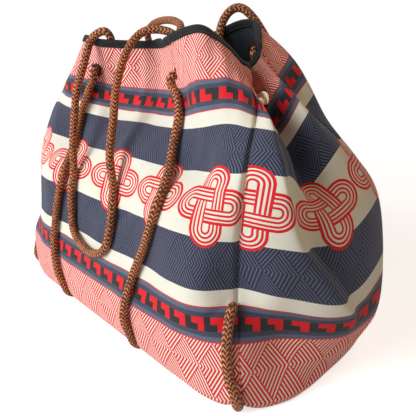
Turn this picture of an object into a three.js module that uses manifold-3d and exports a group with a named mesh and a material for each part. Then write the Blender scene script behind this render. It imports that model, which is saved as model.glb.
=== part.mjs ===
// Drawstring tote bag: a soft patterned bag that stands open on the ropes that run under its base.
// Millimetres, +Z up. +X points to the near end, -Y to the front, and the floor is at z = 0.
import * as THREE from "three";
import { mergeVertices } from "three/addons/utils/BufferGeometryUtils.js";
import Module from "manifold-3d";

const wasm = await Module();
wasm.setup();

// Cloth: flat sizes of the sewn pieces.
const PANEL_WIDTH = 430;
const GUSSET_WIDTH = 205;
const CLOTH_HEIGHT = 378;
const WALL = 2.2;
const SEAM_GAP = 0.7;

// Rope.
const ROPE_DIAMETER = 9.5;
const ROPE_SIDES = 8;
const ROPE_FLAT_DEPTH = 0.95;
const ROPE_STANDOFF = 1.6;
const CORNER_STANDOFF = 3.4;
const END_ROPE_TOP = 88;

// Base.
const BASE_THICKNESS = 2.4;
const BOARD_THICKNESS = 2;
const BOARD_INSET = 8;

// Rim binding.
const BINDING_DEPTH = 7;
const BINDING_THICKNESS = 1.1;

// Eyelets: a flanged barrel outside and a washer inside.
const EYELET_BORE = 11;
const EYELET_FLANGE = 16;
const EYELET_BARREL_WALL = 1;
const EYELET_FLANGE_THICKNESS = 0.9;
const WASHER_THICKNESS = 0.8;
const EYELET_DROP = 39;
const NEAR_EYELET_INSET = 147;
const FAR_EYELET_INSET = 117;

// Press studs on the folded end panels.
const SNAP_CAP_DIAMETER = 15;
const SNAP_CAP_HEIGHT = 2.6;
const SNAP_POST_DIAMETER = 3.6;
const SNAP_BODY_DIAMETER = 10;
const SNAP_BODY_HEIGHT = 3;
const SNAP_SPREAD = 21;
const SNAP_DROP = 44;

// Clearances.
const SEAT = 0.3;
const BINDING_SEAT = 1.1;
const BASE_SEAT = 0.5;
const CURVED_SEAT = 1.1;
const WASHER_SEAT = 1.7;

const ropeRadius = ROPE_DIAMETER / 2;
const ropeAxis = ropeRadius - ROPE_FLAT_DEPTH;
const baseZ = ropeAxis + ropeRadius + SEAT;
const perimeter = 2 * (PANEL_WIDTH + GUSSET_WIDTH);
const snapDepth = WALL + SEAT + CURVED_SEAT;

// The filled bag's shape. Each line follows the cloth from the base edge up to the rim, at the
// heights in LEVELS (shares of the cloth height). It is drawn for cloth of the sizes in DRAWN, and
// other sizes stretch it. Measured round the mouth, 0 is the near front seam, the front panel is
// positive and the near end panel and the back are negative.
const DRAWN = new THREE.Vector3(430, 205, 378);
const LEVELS = [0, 0.12, 0.28, 0.45, 0.62, 0.81, 1];
const front = (share) => share * PANEL_WIDTH;
const end = (share) => -share * GUSSET_WIDTH;
const back = (share) => -GUSSET_WIDTH - share * PANEL_WIDTH;
const LINES = [
  { at: front(0.5), line: [[0, -122, 0], [0, -127, 45], [0, -116, 103], [0, -95, 160], [0, -70, 210],
    [0, -26, 257], [0, -11, 324]] },
  { at: front(0.3), line: [[92, -122, 0], [92, -127, 45], [93, -113, 103], [95, -102, 165], [93, -68, 208],
    [85, -42, 263], [72, -48, 329]] },
  { at: front(0.175), line: [[149, -122, 0], [149, -124, 45], [146, -118, 105], [147, -108, 169],
    [146, -69, 213], [135, -64, 274], [118, -42, 335]] },
  { at: front(0.08), line: [[192, -120, 0], [189, -117, 47], [182, -110, 106], [184, -100, 168],
    [179, -80, 220], [172, -53, 277], [131, -24, 318]] },
  { at: front(0), line: [[226, -106, 0], [219, -101, 50], [200, -82, 104], [209, -85, 167],
    [210, -75, 223], [188, -42, 267], [134, -10, 304]] },
  { at: end(0.195), line: [[247, -70, 0], [234, -61, 46], [232, -59, 102], [234, -62, 163],
    [235, -54, 221], [198, -38, 263], [137, 0, 298]] },
  { at: end(0.5), line: [[249, -5, 0], [266, 0, 42], [268, 0, 101], [252, -6, 162], [213, -11, 193],
    [163, 2, 237], [113, 12, 291]] },
  { at: end(0.78), line: [[241, 54, 0], [261, 58, 42], [261, 60, 106], [248, 53, 172], [229, 18, 224],
    [190, 5, 270], [124, 21, 302]] },
  { at: back(0), line: [[224, 92, 0], [227, 94, 45], [228, 92, 105], [222, 90, 171], [205, 62, 222],
    [158, 40, 268], [132, 34, 315]] },
  { at: back(0.105), line: [[182, 114, 0], [186, 116, 45], [184, 112, 105], [178, 106, 168],
    [166, 92, 226], [150, 66, 288], [109, 45, 334]] },
  { at: back(0.245), line: [[118, 121, 0], [120, 126, 45], [118, 118, 104], [115, 110, 165],
    [110, 98, 224], [100, 80, 288], [84, 49, 342]] },
  { at: back(0.5), line: [[0, 122, 0], [0, 127, 45], [0, 117, 103], [0, 98, 160], [0, 78, 212],
    [0, 45, 262], [0, 14, 313]] },
];
// The far half mirrors the near half, but bulges a little more near the base and sags at the back rim.
const FAR_BULGE = 10;
const FAR_SAG = 14;
const FAR_CORNER_SAG = 12;
const BULGE_LEVELS = [1, 1.2, 1.4, 0.8, 0, 0, 0];
const SAG_LEVELS = [0, 0, 0, 0, 0, 0.5, 1];

const fit = new THREE.Vector3(PANEL_WIDTH / DRAWN.x, GUSSET_WIDTH / DRAWN.y, CLOTH_HEIGHT / DRAWN.z);
const ring = LINES.map(({ at, line }) => ({
  at,
  line: line.map(([x, y, z]) => new THREE.Vector3(x, y, z).multiply(fit)),
}));
for (const { at, line } of LINES.slice(1, -1)) {
  const bulges = at <= 0 && at > -GUSSET_WIDTH;
  const sag = at < -GUSSET_WIDTH ? FAR_SAG : FAR_CORNER_SAG;
  const sags = at <= -GUSSET_WIDTH;
  ring.push({
    at: PANEL_WIDTH - at,
    line: line.map(([x, y, z], level) => {
      const wide = x + (bulges ? FAR_BULGE * BULGE_LEVELS[level] : 0);
      const tall = z - (sags ? sag * SAG_LEVELS[level] : 0);
      return new THREE.Vector3(-wide, y, tall).multiply(fit);
    }),
  });
}
ring.sort((a, b) => a.at - b.at);

// Smooth curve through values at uneven stations, with slopes weighted by the gaps on each side.
function smooth(stations, values, at) {
  const last = stations.length - 1;
  let i = 0;
  while (i < last - 1 && at > stations[i + 1]) i += 1;
  const gap = (k) => stations[k + 1] - stations[k];
  const rise = (k) => values[k + 1].clone().sub(values[k]).divideScalar(gap(k));
  const slope = (k) => {
    if (k === 0) return rise(0).multiplyScalar(1.5).sub(slope(1).multiplyScalar(0.5));
    if (k === last) return rise(last - 1).multiplyScalar(1.5).sub(slope(last - 1).multiplyScalar(0.5));
    const weighted = rise(k).multiplyScalar(gap(k - 1)).add(rise(k - 1).multiplyScalar(gap(k)));
    return weighted.divideScalar(gap(k - 1) + gap(k));
  };
  const t = (at - stations[i]) / gap(i);
  const result = values[i].clone().multiplyScalar(2 * t ** 3 - 3 * t ** 2 + 1);
  result.addScaledVector(slope(i), (t ** 3 - 2 * t ** 2 + t) * gap(i));
  result.addScaledVector(values[i + 1], 3 * t ** 2 - 2 * t ** 3);
  return result.addScaledVector(slope(i + 1), (t ** 3 - t ** 2) * gap(i));
}

const stations = [];
const lines = [];
for (const turn of [-1, 0, 1]) {
  for (const { at, line } of ring) {
    stations.push(at + turn * perimeter);
    lines.push(line);
  }
}

// The point of the cloth's outer face at a distance round the mouth and a height up the cloth.
function cloth(round, height) {
  const wrapped = THREE.MathUtils.euclideanModulo(round + perimeter / 2, perimeter) - perimeter / 2;
  let first = 0;
  while (stations[first + 3] < wrapped) first += 1;
  first = Math.max(first - 1, 0);
  const near = stations.slice(first, first + 6);
  const column = LEVELS.map((_, level) => {
    return smooth(near, lines.slice(first, first + 6).map((line) => line[level]), wrapped);
  });
  const levels = LEVELS.map((share) => share * CLOTH_HEIGHT);
  const point = smooth(levels, column, height);
  point.z += baseZ;
  return point;
}

// Outward unit normal of the cloth, and the direction up the cloth.
function clothFrame(round, height) {
  const step = 2;
  const top = Math.min(height + step, CLOTH_HEIGHT);
  const bottom = Math.max(height - step, 0);
  const up = cloth(round, top).sub(cloth(round, bottom)).normalize();
  const along = cloth(round + step, height).sub(cloth(round - step, height)).normalize();
  const out = up.clone().cross(along).normalize();
  return { up, out, along };
}

function offCloth(round, height, distance) {
  return cloth(round, height).addScaledVector(clothFrame(round, height).out, distance);
}

function meshGeometry(points, triangles) {
  const geometry = new THREE.BufferGeometry();
  const flat = points.flatMap((p) => [p.x, p.y, p.z]);
  geometry.setAttribute("position", new THREE.Float32BufferAttribute(flat, 3));
  geometry.setIndex(triangles);
  geometry.computeVertexNormals();
  return geometry;
}

// Columns of facets in a wide panel and in an end panel.
const PANEL_COLUMNS = 24;
const GUSSET_COLUMNS = 13;

// Heights of the rows of facets: even rows below, and one row under the binding.
const ROWS = 14;
const boundHeight = CLOTH_HEIGHT - BINDING_DEPTH - 2;
const rowHeights = Array.from({ length: ROWS + 1 }, (_, j) => (boundHeight * j) / ROWS);
rowHeights.push(CLOTH_HEIGHT);

// A slab of cloth between two seams, from the base edge to the rim.
function clothPanel(from, to, columns) {
  const rows = rowHeights.length - 1;
  const points = [];
  const triangles = [];
  const index = (layer, i, j) => (layer * (columns + 1) + i) * (rows + 1) + j;
  for (const depth of [0, WALL]) {
    for (let i = 0; i <= columns; i += 1) {
      const round = from + ((to - from) * i) / columns;
      for (let j = 0; j <= rows; j += 1) {
        points.push(offCloth(round, rowHeights[j], -depth));
      }
    }
  }
  const quad = (a, b, c, d) => triangles.push(a, b, c, a, c, d);
  for (let i = 0; i < columns; i += 1) {
    for (let j = 0; j < rows; j += 1) {
      quad(index(0, i, j), index(0, i, j + 1), index(0, i + 1, j + 1), index(0, i + 1, j));
      quad(index(1, i, j), index(1, i + 1, j), index(1, i + 1, j + 1), index(1, i, j + 1));
    }
    quad(index(0, i, 0), index(0, i + 1, 0), index(1, i + 1, 0), index(1, i, 0));
    quad(index(0, i, rows), index(1, i, rows), index(1, i + 1, rows), index(0, i + 1, rows));
  }
  for (let j = 0; j < rows; j += 1) {
    quad(index(0, 0, j), index(1, 0, j), index(1, 0, j + 1), index(0, 0, j + 1));
    quad(index(0, columns, j), index(0, columns, j + 1), index(1, columns, j + 1), index(1, columns, j));
  }
  return meshGeometry(points, triangles);
}

function solid(geometry) {
  const bare = geometry.clone();
  bare.deleteAttribute("normal");
  if (bare.getAttribute("uv")) bare.deleteAttribute("uv");
  const merged = mergeVertices(bare, 1e-4);
  const vertProperties = new Float32Array(merged.getAttribute("position").array);
  const triVerts = new Uint32Array(merged.getIndex().array);
  return new wasm.Manifold(new wasm.Mesh({ numProp: 3, vertProperties, triVerts }));
}

function cut(geometry, tools) {
  let result = solid(geometry);
  for (const tool of tools) result = result.subtract(solid(tool));
  const { vertProperties, triVerts } = result.getMesh();
  const geometryOut = new THREE.BufferGeometry();
  geometryOut.setAttribute("position", new THREE.BufferAttribute(vertProperties, 3));
  geometryOut.setIndex(new THREE.BufferAttribute(triVerts, 1));
  geometryOut.computeVertexNormals();
  return geometryOut;
}

// Places a piece drawn along +Y so that +Y is the cloth's outward normal at a point of the cloth.
function seatOnCloth(geometry, round, height) {
  const { out } = clothFrame(round, height);
  const turn = new THREE.Quaternion().setFromUnitVectors(new THREE.Vector3(0, 1, 0), out);
  const at = cloth(round, height);
  return geometry.applyMatrix4(new THREE.Matrix4().compose(at, turn, new THREE.Vector3(1, 1, 1)));
}

function hole(diameter, round, height) {
  return seatOnCloth(new THREE.CylinderGeometry(diameter / 2, diameter / 2, 8 * WALL, 20), round, height);
}

function lathe(profile, segments) {
  return new THREE.LatheGeometry(profile.map(([r, y]) => new THREE.Vector2(r, y)), segments);
}

// Direction of a rope section's first flat. Where the rope runs crosswise the flats stay square to X,
// so a run under the base lies flat on the floor, and elsewhere the direction is carried along.
function sectionAcross(tangent, previous) {
  const carried = previous.clone().addScaledVector(tangent, -previous.dot(tangent)).normalize();
  if (Math.abs(tangent.x) > 0.5) return carried;
  const level = new THREE.Vector3(1, 0, 0).addScaledVector(tangent, -tangent.x).normalize();
  const twist = Math.atan2(tangent.dot(level.clone().cross(carried)), level.dot(carried));
  const facet = (2 * Math.PI) / ROPE_SIDES;
  return level.applyAxisAngle(tangent, Math.round(twist / facet) * facet);
}

// A rope of ROPE_SIDES flats through hand-placed points.
function rope(route, perLeg, roundEnds) {
  const curve = new THREE.CatmullRomCurve3(route, false, "centripetal");
  const steps = (route.length - 1) * perLeg;
  const stops = [];
  let across = new THREE.Vector3(0.2, 0.3, 1);
  for (let i = 0; i <= steps; i += 1) {
    const tangent = curve.getTangent(i / steps);
    across = sectionAcross(tangent, across);
    stops.push({ at: curve.getPoint(i / steps), tangent, across, radius: ropeRadius });
  }
  if (roundEnds) {
    const dome = [Math.PI / 6, Math.PI / 3];
    const first = stops[0];
    const last = stops[stops.length - 1];
    for (const angle of dome) {
      const reach = ropeRadius * Math.sin(angle);
      const radius = ropeRadius * Math.cos(angle);
      stops.unshift({ ...first, at: first.at.clone().addScaledVector(first.tangent, -reach), radius });
      stops.push({ ...last, at: last.at.clone().addScaledVector(last.tangent, reach), radius });
    }
  }
  const points = [];
  const triangles = [];
  for (const { at, tangent, across, radius } of stops) {
    const other = tangent.clone().cross(across);
    for (let k = 0; k < ROPE_SIDES; k += 1) {
      const angle = ((k + 0.5) / ROPE_SIDES) * 2 * Math.PI;
      const point = at.clone().addScaledVector(across, radius * Math.cos(angle));
      points.push(point.addScaledVector(other, radius * Math.sin(angle)));
    }
  }
  for (let i = 0; i < stops.length - 1; i += 1) {
    for (let k = 0; k < ROPE_SIDES; k += 1) {
      const a = i * ROPE_SIDES + k;
      const b = i * ROPE_SIDES + ((k + 1) % ROPE_SIDES);
      triangles.push(a, b, b + ROPE_SIDES, a, b + ROPE_SIDES, a + ROPE_SIDES);
    }
  }
  const head = points.push(stops[0].at.clone()) - 1;
  const tail = points.push(stops[stops.length - 1].at.clone()) - 1;
  const lastRing = (stops.length - 1) * ROPE_SIDES;
  for (let k = 0; k < ROPE_SIDES; k += 1) {
    const next = (k + 1) % ROPE_SIDES;
    triangles.push(head, next, k);
    triangles.push(tail, lastRing + k, lastRing + next);
  }
  return meshGeometry(points, triangles);
}

const bag = new THREE.Group();
const looks = {
  cloth: new THREE.MeshStandardMaterial({ color: 0xd9a9a4, roughness: 0.85, metalness: 0 }),
  endCloth: new THREE.MeshStandardMaterial({ color: 0x676b7c, roughness: 0.85, metalness: 0 }),
  lining: new THREE.MeshStandardMaterial({ color: 0x1f2736, roughness: 0.9, metalness: 0 }),
  board: new THREE.MeshStandardMaterial({ color: 0x2a2a2c, roughness: 0.7, metalness: 0 }),
  binding: new THREE.MeshStandardMaterial({ color: 0x1b1b1e, roughness: 0.8, metalness: 0 }),
  rope: new THREE.MeshStandardMaterial({ color: 0xc0622c, roughness: 0.75, metalness: 0 }),
  darkMetal: new THREE.MeshStandardMaterial({ color: 0x202022, roughness: 0.4, metalness: 0.8 }),
  brightMetal: new THREE.MeshStandardMaterial({ color: 0xc9c4bc, roughness: 0.2, metalness: 1 }),
};

function add(name, geometry, look) {
  const mesh = new THREE.Mesh(geometry, looks[look]);
  mesh.name = name;
  bag.add(mesh);
}

// Eyelets: the inset is measured from the near seam on the front, and by a half turn on the back.
const eyeletHeight = CLOTH_HEIGHT - EYELET_DROP;
const eyelets = {
  front_left: PANEL_WIDTH - FAR_EYELET_INSET,
  front_right: NEAR_EYELET_INSET,
  back_left: -GUSSET_WIDTH - PANEL_WIDTH + NEAR_EYELET_INSET,
  back_right: -GUSSET_WIDTH - FAR_EYELET_INSET,
};
const barrelDiameter = EYELET_BORE + 2 * EYELET_BARREL_WALL;

// Press studs: a pair each side of the end panel's fold line, near and far.
const snapHeight = CLOTH_HEIGHT - SNAP_DROP;
const nearFold = -GUSSET_WIDTH / 2;
const farFold = PANEL_WIDTH + GUSSET_WIDTH / 2;
const snaps = {
  near_front: nearFold + SNAP_SPREAD,
  near_back: nearFold - SNAP_SPREAD,
  far_front: farFold - SNAP_SPREAD,
  far_back: farFold + SNAP_SPREAD,
};

const eyeletHoles = (side) => {
  const found = Object.keys(eyelets).filter((name) => name.startsWith(side));
  return found.map((name) => hole(barrelDiameter + 2 * SEAT, eyelets[name], eyeletHeight));
};
const snapHoles = (side) => {
  const found = Object.keys(snaps).filter((name) => name.startsWith(side));
  return found.map((name) => hole(SNAP_POST_DIAMETER + 2 * SEAT, snaps[name], snapHeight));
};

const half = SEAM_GAP / 2;
const frontSheet = clothPanel(half, PANEL_WIDTH - half, PANEL_COLUMNS);
const backSheet = clothPanel(-GUSSET_WIDTH - PANEL_WIDTH + half, -GUSSET_WIDTH - half, PANEL_COLUMNS);
const nearSheet = clothPanel(-GUSSET_WIDTH + half, -half, GUSSET_COLUMNS);
const farSheet = clothPanel(PANEL_WIDTH + half, PANEL_WIDTH + GUSSET_WIDTH - half, GUSSET_COLUMNS);
add("front_panel", cut(frontSheet, eyeletHoles("front")), "cloth");
add("back_panel", cut(backSheet, eyeletHoles("back")), "cloth");
add("gusset_near", cut(nearSheet, snapHoles("near")), "endCloth");
add("gusset_far", cut(farSheet, snapHoles("far")), "endCloth");

// Base: the outline of the sewn base edge, inside the walls.
function roundTheBag() {
  const list = [];
  const spans = [
    [0, PANEL_WIDTH, PANEL_COLUMNS], [PANEL_WIDTH, PANEL_WIDTH + GUSSET_WIDTH, GUSSET_COLUMNS],
    [-GUSSET_WIDTH - PANEL_WIDTH, -GUSSET_WIDTH, PANEL_COLUMNS], [-GUSSET_WIDTH, 0, GUSSET_COLUMNS],
  ];
  for (const [from, to, count] of spans) {
    for (let i = 0; i < count; i += 1) list.push(from + ((to - from) * i) / count);
  }
  return list;
}

// Level outward direction at the base edge.
function outwardOf(round) {
  const { along } = clothFrame(round, 0);
  return new THREE.Vector3(-along.y, along.x, 0).normalize();
}

function basePlate(inset, bottom, thickness) {
  const outline = roundTheBag().map((round) => {
    const edge = cloth(round, 0);
    const outward = outwardOf(round);
    const above = cloth(round, bottom + thickness - baseZ);
    const leaning = Math.max(0, edge.clone().sub(above).dot(outward));
    return new THREE.Vector2(edge.x, edge.y).addScaledVector(outward, -inset - leaning);
  });
  const plate = new THREE.ExtrudeGeometry(new THREE.Shape(outline), { depth: thickness, bevelEnabled: false });
  return plate.translate(0, 0, bottom);
}

const basePanelInset = WALL + BASE_SEAT;
add("base_panel", basePlate(basePanelInset, baseZ, BASE_THICKNESS), "cloth");
const boardBottom = baseZ + BASE_THICKNESS + SEAT;
add("base_board", basePlate(basePanelInset + BOARD_INSET, boardBottom, BOARD_THICKNESS), "board");

// Rim binding: a channel folded over the raw edge of all four panels.
function rimBinding() {
  const inner = BINDING_SEAT;
  const outer = BINDING_SEAT + BINDING_THICKNESS;
  const section = [
    [inner, -BINDING_DEPTH], [outer, -BINDING_DEPTH], [outer, outer], [-WALL - outer, outer],
    [-WALL - outer, -BINDING_DEPTH], [-WALL - inner, -BINDING_DEPTH], [-WALL - inner, inner], [inner, inner],
  ];
  const rounds = roundTheBag();
  const points = [];
  const triangles = [];
  for (const round of rounds) {
    const { up } = clothFrame(round, CLOTH_HEIGHT);
    for (const [across, along] of section) {
      const top = offCloth(round, CLOTH_HEIGHT, across);
      const below = offCloth(round, boundHeight, across);
      if (along > 0) points.push(top.addScaledVector(up, along));
      else points.push(top.clone().lerp(below, -along / top.distanceTo(below)));
    }
  }
  const sides = section.length;
  for (let i = 0; i < rounds.length; i += 1) {
    const next = (i + 1) % rounds.length;
    for (let k = 0; k < sides; k += 1) {
      const l = (k + 1) % sides;
      const [a, b, c, d] = [i * sides + k, i * sides + l, next * sides + l, next * sides + k];
      // Both legs are split along the same diagonals as the cloth that they cover.
      if (l === 0) triangles.push(a, b, d, b, c, d);
      else triangles.push(a, c, d, a, b, c);
    }
  }
  return meshGeometry(points, triangles);
}
add("rim_binding", rimBinding(), "binding");

const barrelEnd = -WALL - WASHER_SEAT - WASHER_THICKNESS - SEAT;
const bore = EYELET_BORE / 2;
const barrel = barrelDiameter / 2;
const flange = EYELET_FLANGE / 2;
const flangeTop = CURVED_SEAT + EYELET_FLANGE_THICKNESS;
const eyeletProfile = [
  [bore, barrelEnd], [barrel, barrelEnd], [barrel, CURVED_SEAT], [flange, CURVED_SEAT],
  [flange, flangeTop], [bore, flangeTop], [bore, barrelEnd],
];
const washerTop = -WALL - WASHER_SEAT;
const washerProfile = [
  [barrel + SEAT, washerTop - WASHER_THICKNESS], [flange, washerTop - WASHER_THICKNESS],
  [flange, washerTop], [barrel + SEAT, washerTop], [barrel + SEAT, washerTop - WASHER_THICKNESS],
];
for (const [name, round] of Object.entries(eyelets)) {
  add(`eyelet_${name}`, seatOnCloth(lathe(eyeletProfile, 16), round, eyeletHeight), "darkMetal");
  add(`washer_${name}`, seatOnCloth(lathe(washerProfile, 16), round, eyeletHeight), "darkMetal");
}

const cap = SNAP_CAP_DIAMETER / 2;
const post = SNAP_POST_DIAMETER / 2;
const capProfile = [
  [0, -snapDepth - SNAP_BODY_HEIGHT / 2], [post, -snapDepth - SNAP_BODY_HEIGHT / 2], [post, CURVED_SEAT],
  [cap, CURVED_SEAT], [cap, CURVED_SEAT + 0.8], [cap * 0.75, SNAP_CAP_HEIGHT * 0.8],
  [cap * 0.35, SNAP_CAP_HEIGHT], [0, SNAP_CAP_HEIGHT],
];
const snapBody = SNAP_BODY_DIAMETER / 2;
const socketBottom = -snapDepth - SNAP_BODY_HEIGHT;
const socketProfile = [
  [post + SEAT, socketBottom], [snapBody * 0.7, socketBottom], [snapBody, -snapDepth - 0.8],
  [snapBody, -snapDepth], [post + SEAT, -snapDepth], [post + SEAT, socketBottom],
];
const studWall = post + SEAT + 1;
const studProfile = [
  [post + SEAT, socketBottom - 1.5], [studWall + 0.4, socketBottom - 1.5], [studWall, -snapDepth - 1.2],
  [snapBody, -snapDepth - 0.8], [snapBody, -snapDepth], [post + SEAT, -snapDepth],
  [post + SEAT, socketBottom - 1.5],
];
for (const [name, round] of Object.entries(snaps)) {
  const inside = name.endsWith("back") ? socketProfile : studProfile;
  add(`snap_cap_${name}`, seatOnCloth(lathe(capProfile, 14), round, snapHeight), "brightMetal");
  add(`snap_inside_${name}`, seatOnCloth(lathe(inside, 14), round, snapHeight), "brightMetal");
}

// Ropes.
const at = (x, y, z) => new THREE.Vector3(x, y, z).multiply(fit).add(new THREE.Vector3(0, 0, baseZ));
const lying = (round, height) => offCloth(round, height, ropeRadius + ROPE_STANDOFF);
const under = (x, y) => new THREE.Vector3(x, y, ropeAxis);

// The rope's way round the base edge, from the wall to the floor.
function turnUnder(round) {
  const edge = cloth(round, 0);
  const outward = outwardOf(round);
  const reach = ropeRadius + ROPE_STANDOFF;
  const step = (out, z) => edge.clone().setZ(z).addScaledVector(outward, out);
  return [
    step(reach + 2.5, baseZ + 8), step(reach + 1.2, baseZ + 1.5), step(reach - 0.6, baseZ - reach / 2),
    step(1.2, ropeAxis), step(-6, ropeAxis),
  ];
}

// The rope's way through an eyelet, from inside to outside, and its first turn downwards.
function throughEyelet(name) {
  const round = eyelets[name];
  const { out, up } = clothFrame(round, eyeletHeight);
  const middle = cloth(round, eyeletHeight);
  const step = (outward, upward) => middle.clone().addScaledVector(out, outward).addScaledVector(up, upward);
  return [
    step(-WALL - 12, 10), step(-WALL - 8, 2), step(-WALL - 2, 0), step(flangeTop, 0),
    step(flangeTop + 5, -3), step(flangeTop + 6.5, -10),
  ];
}

const PIVOTS = {
  front_left: at(-79, -55, 337),
  front_right: at(-17, -24, 337),
  back_left: at(-104, 51, 336),
  back_right: at(92, 55, 350),
};
// The rope's last stretch over the rim runs level and stops short of the pivot, where the swinging
// handle begins with a round end.
const knuckle = ropeRadius + SEAT;
function toPivot(name, x, y) {
  const inward = new THREE.Vector3(x, y, 0).normalize();
  return [knuckle + 6, knuckle].map((reach) => PIVOTS[name].clone().addScaledVector(inward, reach));
}

// The ropes' points round the mouth are counted from the eyelets that they pass through.
const leftEye = eyelets.front_left;
const leftBack = eyelets.back_left;
const rightEye = eyelets.front_right;
const rightBack = eyelets.back_right;
const leftRope = [
  ...toPivot("front_left", 0.6, 0.8).reverse(), at(-67, -36, 336), at(-67, -31, 324),
  at(-76, -32, 310), ...throughEyelet("front_left"),
  lying(leftEye + 5, 318), lying(leftEye + 10, 296), lying(leftEye + 14, 272),
  lying(leftEye + 13, 248), lying(leftEye + 5, 222), lying(leftEye - 3, 200),
  lying(leftEye - 8, 180), lying(leftEye - 7, 158), lying(leftEye + 1, 134), lying(leftEye + 8, 108),
  lying(leftEye + 8, 82), lying(leftEye + 3, 56),
  lying(leftEye - 2, 34), ...turnUnder(leftEye - 4), under(-98, -60), under(-94, 0), under(-91, 60),
  ...turnUnder(leftBack - 23).reverse(), lying(leftBack - 21, 34), lying(leftBack - 19, 60),
  lying(leftBack - 17, 90), lying(leftBack - 14, 120),
  lying(leftBack - 12, 150), lying(leftBack - 10, 180), lying(leftBack - 8, 210),
  lying(leftBack - 6, 240), lying(leftBack - 3, 270),
  lying(leftBack - 1, 296), lying(leftBack, 318), ...throughEyelet("back_left").reverse(),
  at(-44, 20, 306), at(-24, 4, 314), at(-8, 8, 330), at(-14, 28, 343), at(-40, 42, 347),
  at(-70, 44, 343),
  ...toPivot("back_left", 1, -0.3),
];
const rightRope = [
  ...toPivot("front_right", 0.6, 0.8).reverse(), at(0, -3, 336), at(16, 0, 330), at(34, -6, 317),
  at(48, -14, 304), ...throughEyelet("front_right"),
  lying(rightEye - 7, 314), lying(rightEye - 10, 292), lying(rightEye - 11, 268),
  lying(rightEye - 14, 244), lying(rightEye - 19, 220), lying(rightEye - 26, 196),
  lying(rightEye - 32, 172), lying(rightEye - 23, 148), lying(rightEye - 9, 124), lying(rightEye, 98),
  lying(rightEye + 2, 74), lying(rightEye + 4, 50),
  lying(rightEye + 3, 34), ...turnUnder(rightEye + 2), under(70, -60), under(72, 0), under(74, 60),
  ...turnUnder(rightBack - 20).reverse(), lying(rightBack - 18, 34), lying(rightBack - 16, 60),
  lying(rightBack - 14, 90), lying(rightBack - 12, 120),
  lying(rightBack - 10, 150), lying(rightBack - 8, 180), lying(rightBack - 6, 210),
  lying(rightBack - 4, 240), lying(rightBack - 2, 270),
  lying(rightBack - 1, 296), lying(rightBack, 318), ...throughEyelet("back_right").reverse(),
  at(74, 36, 316), at(68, 26, 326), at(68, 28, 342), ...toPivot("back_right", -0.8, -0.6),
];

// The bag stands on the four runs under its base, so each is pressed flat on the floor.
const floor = new THREE.BoxGeometry(2 * PANEL_WIDTH, 2 * PANEL_WIDTH, 40).translate(0, 0, -20);
add("cradle_rope_left", cut(rope(leftRope, 1, false), [floor]), "rope");
add("cradle_rope_right", cut(rope(rightRope, 1, false), [floor]), "rope");

// The end ropes are sewn into the corner seams and pass under the base.
const corner = (round, height) => offCloth(round, height, ropeRadius + CORNER_STANDOFF);
function endRope(sign, frontSeam, backSeam) {
  const toFront = sign > 0 ? 1 : -1;
  const seamAt = (round, height, off) => offCloth(round, height, off);
  return [
    seamAt(frontSeam + 2 * toFront, END_ROPE_TOP, 3.8), seamAt(frontSeam + 3 * toFront, END_ROPE_TOP, 7),
    corner(frontSeam + 5 * toFront, END_ROPE_TOP - 8), corner(frontSeam + 7 * toFront, 62),
    corner(frontSeam + 8 * toFront, 44), corner(frontSeam + 8 * toFront, 26),
    ...turnUnder(frontSeam + 6 * toFront), under(sign * 223, -50), under(sign * 223, 0), under(sign * 221, 45),
    ...turnUnder(backSeam).reverse(), corner(backSeam, 26), corner(backSeam, 44), corner(backSeam, 62),
    corner(backSeam, END_ROPE_TOP - 8), seamAt(backSeam, END_ROPE_TOP, 6), seamAt(backSeam, END_ROPE_TOP, 2.6),
  ];
}
const nearEndRoute = endRope(1, 0, -GUSSET_WIDTH);
const farEndRoute = endRope(-1, PANEL_WIDTH, PANEL_WIDTH + GUSSET_WIDTH);
add("end_rope_near", cut(rope(nearEndRoute, 1, false), [floor]), "rope");
add("end_rope_far", cut(rope(farEndRoute, 1, false), [floor]), "rope");

// Handles: the rope's free loops, which swing about the line through their two pivots.
const frontLoop = [
  PIVOTS.front_left, at(-80, -60, 322), at(-82, -68, 300), at(-83, -80, 274), at(-82, -88, 243),
  at(-79, -97, 206), lying(284, 178), lying(281, 150), lying(279, 126), lying(275, 108), lying(262, 97),
  lying(242, 91), lying(218, 91), lying(201, 98), lying(193, 112), lying(192, 130), lying(196, 154),
  lying(204, 180), at(6, -94, 200), at(-3, -78, 246), at(-12, -66, 276), at(-17, -48, 306),
  at(-17, -32, 326), PIVOTS.front_right,
];
const backLoop = [
  PIVOTS.back_left, at(-106, 58, 322), at(-108, 76, 298), at(-107, 97, 262), at(-99, 115, 215),
  at(-80, 126, 176), at(-45, 131, 150), at(-5, 132, 142), at(40, 132, 150), at(76, 127, 178),
  at(98, 118, 215), at(106, 104, 262), at(104, 86, 305), at(96, 64, 336), PIVOTS.back_right,
];
add("front_handle", rope(frontLoop, 1, true), "rope");
add("back_handle", rope(backLoop, 2, true), "rope");

// The origin is on the floor under the middle of the bag and its held ropes.
const extent = new THREE.Box3();
for (const mesh of bag.children) {
  if (!mesh.name.endsWith("handle")) extent.expandByObject(mesh);
}
const middle = extent.getCenter(new THREE.Vector3());
for (const mesh of bag.children) mesh.position.set(-middle.x, -middle.y, 0);

export default bag;
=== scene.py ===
"""Drawstring tote bag: cloth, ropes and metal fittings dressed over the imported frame.

Everything is in metres in the frame's own axes. Sizes in this file are written in millimetres, as a
pattern cutter would, and turned into metres when a mesh is made.
"""

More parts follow.
